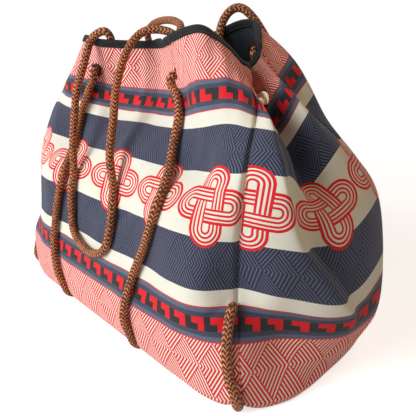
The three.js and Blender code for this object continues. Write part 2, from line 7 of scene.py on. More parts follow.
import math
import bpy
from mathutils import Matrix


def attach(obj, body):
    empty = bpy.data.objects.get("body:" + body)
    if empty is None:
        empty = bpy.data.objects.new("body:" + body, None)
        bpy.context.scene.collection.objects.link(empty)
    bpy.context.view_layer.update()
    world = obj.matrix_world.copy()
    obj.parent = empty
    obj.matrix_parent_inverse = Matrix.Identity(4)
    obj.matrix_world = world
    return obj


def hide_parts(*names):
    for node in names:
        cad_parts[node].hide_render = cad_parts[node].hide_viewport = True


bl_info = {
    "name": "Drawstring tote bag",
    "version": (1, 0, 0),
    "blender": (4, 5, 0),
    "location": "View3D > Sidebar > Tote bag",
    "description": "Builds the cloth, ropes and fittings of a drawstring tote bag",
    "category": "Object",
}

import bpy
import numpy as np
from mathutils import Euler, Vector

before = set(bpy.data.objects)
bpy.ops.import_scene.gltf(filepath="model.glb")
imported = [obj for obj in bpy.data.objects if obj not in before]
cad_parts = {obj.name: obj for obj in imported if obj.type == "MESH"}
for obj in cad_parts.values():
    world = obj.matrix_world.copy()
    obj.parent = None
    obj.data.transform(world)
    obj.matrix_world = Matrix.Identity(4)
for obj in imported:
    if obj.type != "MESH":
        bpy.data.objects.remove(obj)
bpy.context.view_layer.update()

MM = 0.001

# Cloth, flat sizes in mm.
PANEL_WIDTH = 430.0
GUSSET_WIDTH = 205.0
CLOTH_HEIGHT = 378.0
CLOTH_THICKNESS = 2.0
BINDING_DEPTH = 7.0
PERIMETER = 2 * (PANEL_WIDTH + GUSSET_WIDTH)

# Rope.
ROPE_DIAMETER = 9.5
ROPE_RADIUS = ROPE_DIAMETER / 2
ROPE_STANDOFF = 0.7
CORNER_STANDOFF = 2.2
ROPE_AXIS = 3.8
SEAT = 0.3
WALL = 2.2
END_ROPE_TOP = 88.0

# Eyelets and press studs.
EYELET_BORE = 11.0
EYELET_FLANGE = 16.0
EYELET_DROP = 39.0
NEAR_EYELET_INSET = 147.0
FAR_EYELET_INSET = 117.0
SNAP_CAP_DIAMETER = 15.0
SNAP_SPREAD = 21.0
SNAP_DROP = 44.0

# The base cloth's height over the floor, and how the drawing's centre lies in the frame.
BASE_Z = ROPE_AXIS + ROPE_RADIUS + SEAT
CENTRE = np.array([7.317, -0.104, BASE_Z])

# The cloth's shape. Each line follows the cloth from the base edge up to the rim, at LEVELS, which
# are shares of the cloth height. Round the mouth, 0 is the near front seam, the front panel is
# positive, and the near end panel and the back are negative.
LEVELS = np.array([0, 0.12, 0.28, 0.45, 0.62, 0.81, 1])


def front(share):
    """Distance round the mouth at a share of the front panel."""
    return share * PANEL_WIDTH


def end(share):
    """Distance round the mouth at a share of the near end panel."""
    return -share * GUSSET_WIDTH


def back(share):
    """Distance round the mouth at a share of the back panel."""
    return -GUSSET_WIDTH - share * PANEL_WIDTH


def wrapped(distance):
    """A distance round the mouth, brought to between minus half and plus half of the way round."""
    return np.mod(distance + PERIMETER / 2, PERIMETER) - PERIMETER / 2


LINES = [
    (front(0.5), [(0, -122, 0), (0, -127, 45), (0, -116, 103), (0, -95, 160), (0, -70, 210),
                  (0, -26, 257), (0, -11, 324)]),
    (front(0.3), [(92, -122, 0), (92, -127, 45), (93, -113, 103), (95, -102, 165), (93, -68, 208),
                  (85, -42, 263), (72, -48, 329)]),
    (front(0.175), [(149, -122, 0), (149, -124, 45), (146, -118, 105), (147, -108, 169),
                    (146, -69, 213), (135, -64, 274), (118, -42, 335)]),
    (front(0.08), [(192, -120, 0), (189, -117, 47), (182, -110, 106), (184, -100, 168),
                   (179, -80, 220), (172, -53, 277), (131, -24, 318)]),
    (front(0), [(226, -106, 0), (219, -101, 50), (200, -82, 104), (209, -85, 167), (210, -75, 223),
                (188, -42, 267), (134, -10, 304)]),
    (end(0.195), [(247, -70, 0), (234, -61, 46), (232, -59, 102), (234, -62, 163), (235, -54, 221),
                  (198, -38, 263), (137, 0, 298)]),
    (end(0.5), [(249, -5, 0), (266, 0, 42), (268, 0, 101), (252, -6, 162), (213, -11, 193),
                (163, 2, 237), (113, 12, 291)]),
    (end(0.78), [(241, 54, 0), (261, 58, 42), (261, 60, 106), (248, 53, 172), (229, 18, 224),
                 (190, 5, 270), (124, 21, 302)]),
    (back(0), [(224, 92, 0), (227, 94, 45), (228, 92, 105), (222, 90, 171), (205, 62, 222),
               (158, 40, 268), (132, 34, 315)]),
    (back(0.105), [(182, 114, 0), (186, 116, 45), (184, 112, 105), (178, 106, 168), (166, 92, 226),
                   (150, 66, 288), (109, 45, 334)]),
    (back(0.245), [(118, 121, 0), (120, 126, 45), (118, 118, 104), (115, 110, 165), (110, 98, 224),
                   (100, 80, 288), (84, 49, 342)]),
    (back(0.5), [(0, 122, 0), (0, 127, 45), (0, 117, 103), (0, 98, 160), (0, 78, 212), (0, 45, 262),
                 (0, 14, 313)]),
]
FAR_BULGE = 10.0
FAR_SAG = 14.0
FAR_CORNER_SAG = 12.0
BULGE_LEVELS = np.array([1, 1.2, 1.4, 0.8, 0, 0, 0])
SAG_LEVELS = np.array([0, 0, 0, 0, 0, 0.5, 1])

CORNERS = (0.0, PANEL_WIDTH, -GUSSET_WIDTH, -GUSSET_WIDTH - PANEL_WIDTH)


def net():
    """Stations round the mouth and the seven points of each line, far half included."""
    rows = [(at, np.array(line, float)) for at, line in LINES]
    for at, line in LINES[1:-1]:
        far = np.array(line, float)
        if -GUSSET_WIDTH < at <= 0:
            far[:, 0] += FAR_BULGE * BULGE_LEVELS
        if at <= -GUSSET_WIDTH:
            far[:, 2] -= (FAR_SAG if at < -GUSSET_WIDTH else FAR_CORNER_SAG) * SAG_LEVELS
        far[:, 0] *= -1
        rows.append((PANEL_WIDTH - at, far))
    rows.sort(key=lambda row: row[0])
    stations = np.array([row[0] for row in rows])
    lines = np.array([row[1] for row in rows])
    stations = np.concatenate([stations + turn * PERIMETER for turn in (-1, 0, 1)])
    return stations, np.concatenate([lines] * 3)


def cubic(t, start, leaving, stop, arriving):
    """The cubic from start to stop at the share t of the way, with these slopes at its ends."""
    return (
        (2 * t**3 - 3 * t**2 + 1) * start + (t**3 - 2 * t**2 + t) * leaving
        + (3 * t**2 - 2 * t**3) * stop + (t**3 - t**2) * arriving
    )


def hermite(stations, values, at):
    """Smooth curve through values at uneven stations. Each slope is the mean of the slopes on its two
    sides, weighted by the gap on the other side; between stations the curve is a cubic."""
    gaps = np.diff(stations)
    shape = (-1,) + (1,) * (values.ndim - 1)
    rises = np.diff(values, axis=0) / gaps.reshape(shape)
    slopes = np.empty_like(values)
    before = gaps[:-1].reshape(shape)
    after = gaps[1:].reshape(shape)
    slopes[1:-1] = (rises[1:] * before + rises[:-1] * after) / (before + after)
    slopes[0] = 1.5 * rises[0] - 0.5 * slopes[1]
    slopes[-1] = 1.5 * rises[-1] - 0.5 * slopes[-2]
    at = np.asarray(at, float)
    i = np.clip(np.searchsorted(stations, at, side="right") - 1, 0, len(gaps) - 1)
    gap = gaps[i].reshape(shape)
    t = ((at - stations[i]) / gaps[i]).reshape(shape)
    return cubic(t, values[i], gap * slopes[i], values[i + 1], gap * slopes[i + 1])


STATIONS, NET = net()


def cloth(rounds, heights):
    """Grid of points of the cloth's outer face, rounds by heights by 3, in mm."""
    columns = hermite(STATIONS, NET, wrapped(np.asarray(rounds, float)))
    grid = hermite(LEVELS * CLOTH_HEIGHT, np.moveaxis(columns, 1, 0), heights)
    return np.moveaxis(grid, 0, 1) + CENTRE


def unit(vectors):
    """The vectors at length 1."""
    return vectors / np.maximum(np.linalg.norm(vectors, axis=-1, keepdims=True), 1e-9)


def cloth_frame(rounds, heights):
    """Unit vectors up the cloth, along it and out of it, each a rounds by heights by 3 grid."""
    rounds, heights = np.asarray(rounds, float), np.asarray(heights, float)
    step = 2.0
    top = np.minimum(heights + step, CLOTH_HEIGHT)
    bottom = np.maximum(heights - step, 0)
    up = unit(cloth(rounds, top) - cloth(rounds, bottom))
    along = unit(cloth(rounds + step, heights) - cloth(rounds - step, heights))
    return up, along, unit(np.cross(up, along))


def place_on_cloth(round_at, height):
    """A place on the cloth, and the unit vectors up the cloth and out of it there."""
    up, _, out = (grid[0, 0] for grid in cloth_frame([round_at], [height]))
    return cloth([round_at], [height])[0, 0], up, out


# Folds that run up the cloth, where one side is tucked in behind the other. Each has the heights it
# passes, its distance round the mouth there, how far the cloth beyond it is tucked in, the side and way
# it goes, how far the near side swells out, and over what distances the edge drops, the cloth beyond
# comes back and the swelling rises.
FOLDS = [
    {"heights": (60, 100, 150, 200, 250, 300, 345, 378), "rounds": (2, 3, 4, 4, 4, 3, 2, 2),
     "depths": (0, 5, 10, 12, 12, 11, 8, 5), "side": -1, "way": (-0.82, 0.57, 0), "swell": 0.2,
     "edge": 3.0, "tail": 11.0, "lead": 14.0},
    {"heights": (50, 78, 105, 137, 160, 189, 224, 260, 300, 335),
     "rounds": (-116, -104, -88, -71, -62, -54, -38, -31, -35, -44),
     "depths": (0, 8, 13, 16, 16, 15, 14, 12, 9, 0), "side": -1, "way": (-0.78, 0.61, -0.12), "swell": 0.85,
     "edge": 3.0, "tail": 58.0, "lead": 26.0},
    {"heights": (288, 320, 350, 378), "rounds": (148, 144, 138, 132), "depths": (0, 5, 10, 13), "side": 1,
     "way": (0.1, 1, 0), "swell": 0.2, "edge": 4.0, "tail": 14.0, "lead": 12.0},
    {"heights": (60, 100, 150, 250, 330, 378), "rounds": (430, 430, 430, 430, 430, 430),
     "depths": (0, 2, 3, 3, 3, 2), "side": 1, "way": (0.86, 0.5, 0), "swell": 0.2,
     "edge": 3.0, "tail": 11.0, "lead": 12.0},
    {"heights": (60, 100, 150, 250, 330, 378), "rounds": (-207, -208, -209, -209, -207, -207),
     "depths": (0, 3, 6, 7, 5, 3), "side": 1, "way": (-0.86, -0.5, 0), "swell": 0.2,
     "edge": 3.0, "tail": 11.0, "lead": 12.0},
    {"heights": (60, 100, 150, 250, 330, 378), "rounds": (637, 638, 639, 639, 637, 637),
     "depths": (0, 3, 6, 7, 5, 3), "side": -1, "way": (0.86, -0.5, 0), "swell": 0.2,
     "edge": 3.0, "tail": 11.0, "lead": 12.0},
    {"heights": (80, 130, 189, 250, 320), "rounds": (510, 500, 492, 480, 492), "depths": (0, 5, 8, 7, 0),
     "side": 1, "way": (0.97, 0.22, 0), "swell": 0.5, "edge": 4.0, "tail": 40.0, "lead": 24.0},
]

# Over what distance a fold's two sides meet, in mm.
CREASE_SOFTNESS = 3.0

# Soft valleys: (round, height) at each end, depth and half width in mm.
VALLEYS = [
    ((132, 196), (196, 138), 3.2, 9.0),
    ((8, 92), (34, 76), 1.8, 4.0),
    ((232, 260), (250, 168), 2.2, 10.0),
    ((96, 268), (112, 204), 1.6, 12.0),
    ((-300, 250), (-262, 150), 2.5, 12.0),
    ((-520, 262), (-560, 170), 2.5, 12.0),
]

# Places where the whole cloth leans over a little: middle (round, height), reach each way, and the
# movement in mm.
LEANS = [
    ((-212, 384), (34, 42), (-6.2, -7.0, 0)),
    ((-46, 334), (30, 26), (-5.2, -6.0, 0)),
    ((424, 62), (26, 60), (-9.0, -4.0, 0)),
    ((-196, 150), (44, 62), (5.0, 4.0, 0)),
    ((-140, 22), (50, 30), (-4.5, 1.0, 0.3)),
    ((430, 238), (40, 34), (6.5, 3.5, 0)),
    ((430, 386), (34, 34), (6.5, 4.5, -3.0)),
]


def seam_distance(rounds):
    """Distance round the mouth to the nearest corner seam."""
    return np.min([np.abs(wrapped(rounds - corner)) for corner in CORNERS], axis=0)


def tucks(rounds, heights):
    """How far each point of the cloth is moved by the folds, in mm. Before a fold's line the cloth swells
    out along an exponential, at the line it drops within the edge distance to its depth, and beyond it
    comes back along an exponential tail. A lean is a bell in both directions."""
    rounds = np.asarray(rounds, float)
    total = np.zeros((len(rounds), len(heights), 3))
    for fold in FOLDS:
        line = np.interp(heights, fold["heights"], fold["rounds"])
        depth = np.interp(heights, fold["heights"], fold["depths"], left=0.0, right=fold["depths"][-1])
        gap = fold["side"] * wrapped(rounds[:, None] - line[None])
        beyond = (gap + np.sqrt(gap**2 + CREASE_SOFTNESS**2)) / 2
        before = gap - beyond
        drop = np.exp(-beyond / fold["edge"])
        tucked = (1 - drop) * np.exp(-beyond / fold["tail"])
        swelled = fold["swell"] * drop * np.exp(before / fold["lead"])
        total += ((tucked - swelled) * depth)[..., None] * np.array(fold["way"])
    for (r0, h0), (reach_r, reach_h), way in LEANS:
        gap = wrapped(rounds[:, None] - r0)
        share = np.exp(-((gap / reach_r) ** 2) - ((np.asarray(heights)[None] - h0) / reach_h) ** 2)
        total += share[..., None] * np.array(way)
    return total


# Waves over the cloth: depth in mm, how many go round the mouth, their turn per mm of height and at the start.
GATHERS = ((0.7, 41, 0.010, 0.0), (0.45, 67, -0.012, 1.3))
SLOW_WAVES = ((0.5, 17, 0.031, 0.0), (0.4, 11, -0.043, 2.0), (0.3, 29, 0.058, 0.7))
GATHER_FOOT = 235.0
GATHER_RISE = 90.0
# A corner seam: how far its groove, the swelling beside it and its pucker stand out, and their half widths.
SEAM_GROOVE = (-1.3, 1.8)
SEAM_SWELL = (0.5, 8.0)
SEAM_PUCKER = (0.2, 6.0)
PUCKER_PITCH = 11.0


def bell(distance, width):
    """A bell that is 1 in its middle and falls to a third at the width."""
    return np.exp(-((distance / width) ** 2))


def waves(table, wave, r, h):
    """The sum of a table's waves at distances round the mouth and heights."""
    turn = 2 * np.pi / PERIMETER
    return sum(depth * wave(count * turn * r + climb * h + start) for depth, count, climb, start in table)


def relief(rounds, heights, strength):
    """How far the cloth's face stands out from the smooth net, in mm. The corner seams are narrow
    grooves with a slight pucker. Below the rim there are gathers, cosines across the cloth that fade
    out downwards and at the binding, and everywhere a slow unevenness from a few crossing waves. Each
    valley has a bell-shaped section that fades at its ends."""
    r, h = np.meshgrid(rounds, heights, indexing="ij")
    near = seam_distance(r)
    rise = SEAM_GROOVE[0] * bell(near, SEAM_GROOVE[1]) + SEAM_SWELL[0] * bell(near, SEAM_SWELL[1])
    rise += SEAM_PUCKER[0] * np.cos(2 * np.pi * h / PUCKER_PITCH) * bell(near, SEAM_PUCKER[1])
    fade = np.clip((h - GATHER_FOOT) / GATHER_RISE, 0, 1) ** 2 * np.clip((CLOTH_HEIGHT + 6 - h) / 30.0, 0.15, 1)
    rise += strength * fade * waves(GATHERS, np.cos, r, h) * (1 - bell(near, 12.0))
    calm = np.clip(h / 40.0, 0, 1) * np.clip((CLOTH_HEIGHT + 8 - h) / 40.0, 0.2, 1)
    rise += strength * waves(SLOW_WAVES, np.sin, r, h) * calm
    for (r0, h0), (r1, h1), depth, width in VALLEYS:
        dr, dh = r1 - r0, h1 - h0
        length = math.hypot(dr, dh)
        t = ((r - r0) * dr + (h - h0) * dh) / length**2
        across = np.abs((r - r0) * dh - (h - h0) * dr) / length
        rise -= depth * bell(across, width) * np.sqrt(np.clip(4 * t * (1 - t), 0, 1))
    return rise


# The base edge turns under in a round of this height, by this much. Between the ropes the cloth hangs by
# BASE_HANG, which fades out up to BASE_HANG_TOP.
BASE_TURN = 9.0
BASE_TUCK = 4.5
BASE_HANG = 6.6
BASE_HANG_TOP = 45.0
# Where the four ropes cross under the base: x at the front edge and at the back edge.
CROSSINGS = ((-95.0, -84.0), (72.0, 84.0), (228.0, 226.0), (-228.0, -226.0))
# How far from the middle line those edges are, and how near a rope the cloth doesn't hang.
CROSSING_HALF = 120.0
CROSSING_CLEAR = 9.0


def clear_of_ropes(x, y):
    """0 on the line of a rope that crosses under the base, and 1 a little beside it."""
    share = np.clip((y + CROSSING_HALF) / (2 * CROSSING_HALF), 0, 1)
    clear = np.ones_like(x)
    for at_front, at_back in CROSSINGS:
        clear *= 1 - bell(x - (at_front + (at_back - at_front) * share), CROSSING_CLEAR)
    return clear


def face(rounds, heights, strength=1.0):
    """The detailed outer face and its outward normals. Near the base edge it turns under in a round."""
    heights = np.asarray(heights, float)
    out = cloth_frame(rounds, heights)[2]
    points = cloth(rounds, heights) + out * relief(rounds, heights, strength)[..., None]
    points += tucks(rounds, heights)
    turned = np.clip((BASE_TURN - heights) / BASE_TURN, 0, 1)
    tuck = BASE_TUCK * (1 - np.sqrt(1 - 0.98 * turned**2))
    points -= unit(out * np.array([1, 1, 0])) * tuck[None, :, None]
    hang = BASE_HANG * np.clip(1 - heights / BASE_HANG_TOP, 0, 1) ** 2
    points[..., 2] -= hang[None] * clear_of_ropes(points[..., 0], points[..., 1])
    return points, out


# Meshes.
def smooth_mesh(name, points, faces, material_index=None):
    """A smooth-shaded mesh from points in mm, with each face's material number where given."""
    mesh = bpy.data.meshes.new(name)
    mesh.from_pydata(np.asarray(points) * MM, [], faces)
    mesh.polygons.foreach_set("use_smooth", np.ones(len(mesh.polygons), bool))
    if material_index is not None:
        mesh.polygons.foreach_set("material_index", np.asarray(material_index, np.int32))
    mesh.update()
    return mesh


def set_uv(mesh, name, per_vertex):
    """Gives the mesh a UV map from one pair of values per vertex."""
    layer = mesh.uv_layers.new(name=name)
    corner = np.empty(len(mesh.loops), np.int32)
    mesh.loops.foreach_get("vertex_index", corner)
    layer.data.foreach_set("uv", np.asarray(per_vertex, np.float32)[corner].ravel())


def set_loop_uv(mesh, name, per_loop):
    """Gives the mesh a UV map from one pair of values per corner."""
    layer = mesh.uv_layers.new(name=name)
    layer.data.foreach_set("uv", np.asarray(per_loop, np.float32).ravel())


def place(name, mesh, materials, body, slot, *nodes):
    """Puts a piece in the scene on its body, in place of the nodes that it stands for. The slot is not used."""
    piece = bpy.data.objects.new(name, mesh)
    bpy.context.scene.collection.objects.link(piece)
    for material in materials:
        mesh.materials.append(material)
    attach(piece, body)
    if nodes:
        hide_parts(*nodes)
    return piece


def grid_faces(index, flip=False):
    """Quads of a rectangular array of vertex numbers."""
    quads = np.stack([index[:-1, :-1], index[:-1, 1:], index[1:, 1:], index[1:, :-1]], -1).reshape(-1, 4)
    return quads[:, ::-1] if flip else quads


def ring_round(index):
    """Vertex numbers with the first column repeated at the end, so that the rows close."""
    return np.concatenate([index, index[:, :1]], 1)


# Shader numbers, so that a formula in a material reads as a formula.
class Number:
    """A number in a node tree. Arithmetic on it adds Math nodes."""

    def __init__(self, tree, socket):
        self.tree, self.socket = tree, socket

    def math(self, operation, *others):
        node = self.tree.nodes.new("ShaderNodeMath")
        node.operation = operation
        for slot, value in enumerate((self, *others)):
            if isinstance(value, Number):
                self.tree.links.new(value.socket, node.inputs[slot])
            else:
                node.inputs[slot].default_value = value
        return Number(self.tree, node.outputs[0])

    def __add__(self, other):
        return self.math("ADD", other)

    def __sub__(self, other):
        return self.math("SUBTRACT", other)

    def __mul__(self, other):
        return self.math("MULTIPLY", other)

    def __truediv__(self, other):
        return self.math("DIVIDE", other)

    __radd__ = __add__
    __rmul__ = __mul__

    def less_from(self, value):
        """value minus this number."""
        return (self * -1.0) + value

    def fraction(self):
        return self.math("FRACT")

    def floor(self):
        return self.math("FLOOR")

    def size(self):
        return self.math("ABSOLUTE")

    def above(self, other):
        return self.math("GREATER_THAN", other)

    def below(self, other):
        return self.math("LESS_THAN", other)

    def most(self, other):
        return self.math("MAXIMUM", other)

    def least(self, other):
        return self.math("MINIMUM", other)

    def between(self, low, high):
        return self.above(low) * self.below(high)

    def length_with(self, other):
        return (self * self + other * other).math("SQRT")

    def sine(self):
        return self.math("SINE")


def blend_colours(tree, factor, first, second):
    """The first colour where the factor is 0, the second where it is 1."""
    node = tree.nodes.new("ShaderNodeMix")
    node.data_type = "RGBA"
    for socket, value in ((node.inputs[0], factor), (node.inputs[6], first), (node.inputs[7], second)):
        if isinstance(value, Number):
            value = value.socket
        if isinstance(value, bpy.types.NodeSocket):
            tree.links.new(value, socket)
        else:
            socket.default_value = value
    return node.outputs[2]


def linear(r, g, b):
    """A colour as it looks, 0 to 255 a channel, as the linear colour of a socket."""
    def channel(value):
        value /= 255.0
        return value / 12.92 if value <= 0.04045 else ((value + 0.055) / 1.055) ** 2.4
    return (channel(r), channel(g), channel(b), 1.0)


def new_group(name, inputs, outputs):
    """A node group with these named inputs and outputs, and its two end nodes."""
    tree = bpy.data.node_groups.new(name, "ShaderNodeTree")
    for label, kind in inputs:
        tree.interface.new_socket(name=label, in_out="INPUT", socket_type=kind)
    for label, kind in outputs:
        tree.interface.new_socket(name=label, in_out="OUTPUT", socket_type=kind)
    return tree, tree.nodes.new("NodeGroupInput"), tree.nodes.new("NodeGroupOutput")


# The print, sizes in mm, heights up from the base edge.
REPEAT = 86.0
KNOT_HEIGHT = 189.0
KNOT_HALF = 42.3
KNOT_BAND_RADIUS = 18.5
KNOT_SLOT = 3.4
KNOT_LINE_PITCH = 4.3
NAVY_LOZENGE = REPEAT / 3
PINK_LOZENGE = REPEAT / 2.5
PINK_START = 4.3
LOZENGE_HEIGHT = 50.0
LOZENGE_LINES = 9.0
FRET_PITCH = REPEAT / 4
FRET_BAR = FRET_PITCH / 3
FRET_FOOT = FRET_PITCH * 2 / 3
UPPER_FRET_START = 8.3
LOWER_FRET_END = 4.5
FRET_HALF = 6.6
SLATE_HALF = 11.6
GREY_HALF = 16.2
STRIPE_HALF = 17.25
STRIPES = ((STRIPE_HALF, "red"), (GREY_HALF, "grey_blue"), (SLATE_HALF, "slate"), (FRET_HALF, "black"))
UPPER_STRIPES = 306.0
LOWER_STRIPES = 72.0
UPPER_CREAM = (273.25, 288.75)
LOWER_CREAM = (89.25, 104.75)
UPPER_NAVY = (223.25, 273.25)
LOWER_NAVY = (104.75, 154.75)
PRINT_MIDDLE = 150.0
# Parts of a lozenge in units of its lines: where a light line starts and stops, how near the lines come
# to the edge, and between what limits the dot lies.
LOZENGE_LINE = (0.41, 0.83)
LOZENGE_LINES_END = 0.3
LOZENGE_DOT = (0.14, 0.86)
KNOT_EDGE_LINE = 2.9


def tint(name):
    """One of the colours in the scene's settings."""
    return tuple(getattr(bpy.context.scene.bag_colours, name))


def print_group():
    """The cloth's print as a colour, from the distance along the cloth and the height, in mm."""
    tree, given, result = new_group(
        "Bag print", [("Along", "NodeSocketFloat"), ("Height", "NodeSocketFloat")],
        [("Colour", "NodeSocketColor")],
    )
    u, v = Number(tree, given.outputs[0]), Number(tree, given.outputs[1])

    def lozenges(row, width, start):
        """Eight nested light chevrons in each rhombus of a lattice, and the dot in its left corner."""
        across = (u - start) / width
        rise = (v - row) / LOZENGE_HEIGHT
        p = (across + rise).fraction() * LOZENGE_LINES
        q = (across - rise).fraction() * LOZENGE_LINES
        level, least = p.most(q), p.least(q)
        lines = level.fraction().between(*LOZENGE_LINE) * level.above(1.0) * least.above(LOZENGE_LINES_END)
        return lines.most(level.below(LOZENGE_DOT[1]) * least.above(LOZENGE_DOT[0]))

    def fret(middle, turned):
        """Stepped fret: a bar with a foot, turned by half a turn in the lower band."""
        y = v - middle
        if turned:
            x, y = ((u * -1.0 + LOWER_FRET_END) / FRET_PITCH).fraction() * FRET_PITCH, y * -1.0
        else:
            x = ((u - UPPER_FRET_START) / FRET_PITCH).fraction() * FRET_PITCH
        return x.below(FRET_BAR).most(x.below(FRET_FOOT) * y.below(0.0))

    cream, red = tint("cream"), tint("red")
    navy_upper, navy_lower = (
        blend_colours(tree, lozenges(sum(band) / 2, NAVY_LOZENGE, 0.0), tint("navy_dark"), tint("navy_light"))
        for band in (UPPER_NAVY, LOWER_NAVY)
    )
    beyond_stripes = STRIPE_HALF + LOZENGE_HEIGHT / 2
    pink_upper, pink_lower = (
        blend_colours(tree, lozenges(row, PINK_LOZENGE, PINK_START), tint("pink_red"), cream)
        for row in (UPPER_STRIPES + beyond_stripes, LOWER_STRIPES - beyond_stripes)
    )
    colour = blend_colours(tree, v.below(PRINT_MIDDLE), pink_upper, pink_lower)
    colour = blend_colours(tree, v.between(LOWER_CREAM[0] - 1, UPPER_CREAM[1] + 1), colour, cream)
    colour = blend_colours(tree, v.between(*UPPER_NAVY), colour, navy_upper)
    colour = blend_colours(tree, v.between(*LOWER_NAVY), colour, navy_lower)
    for middle, turned in ((UPPER_STRIPES, False), (LOWER_STRIPES, True)):
        off = (v - middle).size()
        for half, name in STRIPES:
            colour = blend_colours(tree, off.below(half), colour, tint(name))
        colour = blend_colours(tree, off.below(FRET_HALF) * fret(middle, turned), colour, red)

    # The knot: two long rings of four lines, one lying and one standing, woven through each other.
    x = ((u / REPEAT).fraction() - 0.5) * REPEAT
    y = v - KNOT_HEIGHT
    reach = KNOT_HALF - KNOT_BAND_RADIUS
    lying = (x.size() - reach).most(0.0).length_with(y)
    standing = x.length_with((y.size() - reach).most(0.0))
    in_lying = lying.between(KNOT_SLOT, KNOT_BAND_RADIUS)
    in_standing = standing.between(KNOT_SLOT, KNOT_BAND_RADIUS)
    over = (x * y).above(0.0)
    shows_standing = in_standing * over.most(in_lying.less_from(1.0))
    distance = lying + (standing - lying) * shows_standing
    depth = distance.less_from(KNOT_BAND_RADIUS)
    line = (depth / KNOT_LINE_PITCH).fraction().below(0.5).most(depth.below(KNOT_EDGE_LINE))
    knot = blend_colours(tree, line, cream, red)
    colour = blend_colours(tree, in_lying.most(in_standing), colour, knot)
    tree.links.new(colour, result.inputs[0])
    return tree


def weave_group():
    """Height of a plain weave from two distances in mm, 0 to 1: the product of two sines, with a little
    of each one's size."""
    tree, given, result = new_group(
        "Plain weave",
        [("Along", "NodeSocketFloat"), ("Up", "NodeSocketFloat"), ("Pitch", "NodeSocketFloat")],
        [("Height", "NodeSocketFloat")],
    )
    u, v, pitch = (Number(tree, given.outputs[k]) for k in range(3))
    a = (u / pitch * (2 * math.pi)).sine()
    b = (v / pitch * (2 * math.pi)).sine()
    height = (a * b + (a.size() + b.size()) * 0.35) * 0.5 + 0.5
    tree.links.new(height.socket, result.inputs[0])
    return tree


# The braid: columns round the rope, a strand's length along it, how many strands a column slants by, and
# in mm the strands' height and how deep the valleys between them lie.
BRAID_COLUMNS = 10
BRAID_PITCH = 2.35
BRAID_SLANT = 1.2
BRAID_DEPTH = 0.55
BRAID_SINK = 0.4
# Threads in a strand, where the painted shade on its edge starts, and the dark flecks' noise.
STRAND_THREADS = 3
STRAND_EDGE = 0.84
FLECK_SCALE = 520.0
FLECK_LEVEL = 0.57


def braid_group():
    """Colour and height of a braided rope from the share of the way round and the distance along in mm.
    Columns of strands slant to alternate sides, every other strand is dark, and a strand's edges are
    lower than its middle and darker with painted shade."""
    tree, given, result = new_group(
        "Braid", [("Around", "NodeSocketFloat"), ("Along", "NodeSocketFloat")],
        [("Colour", "NodeSocketColor"), ("Height", "NodeSocketFloat")],
    )
    around, along = Number(tree, given.outputs[0]), Number(tree, given.outputs[1])
    across = around * float(BRAID_COLUMNS)
    column = across.floor()
    share = across.fraction()
    odd = (column * 0.5).fraction().above(0.25)
    slant = share + (share.less_from(1.0) - share) * odd
    strand = along / BRAID_PITCH + slant * BRAID_SLANT
    number = strand.floor()
    within = strand.fraction()
    pair = (column * 0.5).floor()
    dark = ((number + pair) * 0.5).fraction().above(0.25)
    edge = (within - 0.5).size() * 2.0
    threads = (within * (STRAND_THREADS * 2 * math.pi)).sine() * 0.5 + 0.5
    # Towards a strand's edges its orange deepens as painted shade; the threads add stripes of the deeper
    # orange.
    edge_shade_and_threads = (edge * edge * 0.7 + threads * 0.25).least(1.0)
    orange = blend_colours(tree, edge_shade_and_threads, tint("orange"), tint("orange_deep"))
    colour = blend_colours(tree, dark, orange, tint("braid_black"))
    fleck = grain_of(tree, FLECK_SCALE, 2.0).above(FLECK_LEVEL) * 0.9
    colour = blend_colours(tree, fleck, colour, tint("braid_black"))
    # The strand's very edges turn towards rope black: painted shade between the strands.
    colour = blend_colours(tree, edge.above(STRAND_EDGE) * 0.6, colour, tint("braid_black"))
    tree.links.new(colour, result.inputs[0])
    height = (edge * edge).less_from(1.0) * 0.8 + threads * 0.2
    tree.links.new(height.socket, result.inputs[1])
    return tree


PLAIN_SOCKETS = {
    "roughness": "Roughness", "sheen": "Sheen Weight", "specular": "Specular IOR Level", "metallic": "Metallic",
}


def principled(name, **plain):
    """A material, its node tree and its shader, with plain values on the shader's own sockets."""
    material = bpy.data.materials.new(name)
    material.use_nodes = True
    tree = material.node_tree
    shader = next(node for node in tree.nodes if node.type == "BSDF_PRINCIPLED")
    for label, value in plain.items():
        shader.inputs[PLAIN_SOCKETS[label]].default_value = value
    return material, tree, shader


def uv_in_mm(tree, layer):
    """The two numbers of a UV map that is in metres, in mm."""
    node = tree.nodes.new("ShaderNodeUVMap")
    node.uv_map = layer
    split = tree.nodes.new("ShaderNodeSeparateXYZ")
    tree.links.new(node.outputs[0], split.inputs[0])
    return Number(tree, split.outputs[0]) * (1 / MM), Number(tree, split.outputs[1]) * (1 / MM)


def grain_of(tree, scale, detail=3.0):
    """Fine noise on Object coordinates, about a half on average."""
    noise = tree.nodes.new("ShaderNodeTexNoise")
    noise.inputs["Scale"].default_value = scale
    noise.inputs["Detail"].default_value = detail
    where = tree.nodes.new("ShaderNodeTexCoord")
    tree.links.new(where.outputs["Object"], noise.inputs["Vector"])
    return Number(tree, noise.outputs[0])


def toned(tree, colour, factor):
    """The colour times a number."""
    node = tree.nodes.new("ShaderNodeVectorMath")
    node.operation = "SCALE"
    if isinstance(colour, bpy.types.NodeSocket):
        tree.links.new(colour, node.inputs[0])
    else:
        node.inputs[0].default_value = colour[:3]
    tree.links.new(factor.socket, node.inputs["Scale"])
    return node.outputs[0]


def group_node(tree, group, *values):
    """A node group placed in a material, with these values or numbers on its inputs."""
    node = tree.nodes.new("ShaderNodeGroup")
    node.node_tree = group
    for socket, value in zip(node.inputs, values):
        if isinstance(value, Number):
            tree.links.new(value.socket, socket)
        else:
            socket.default_value = value
    return node


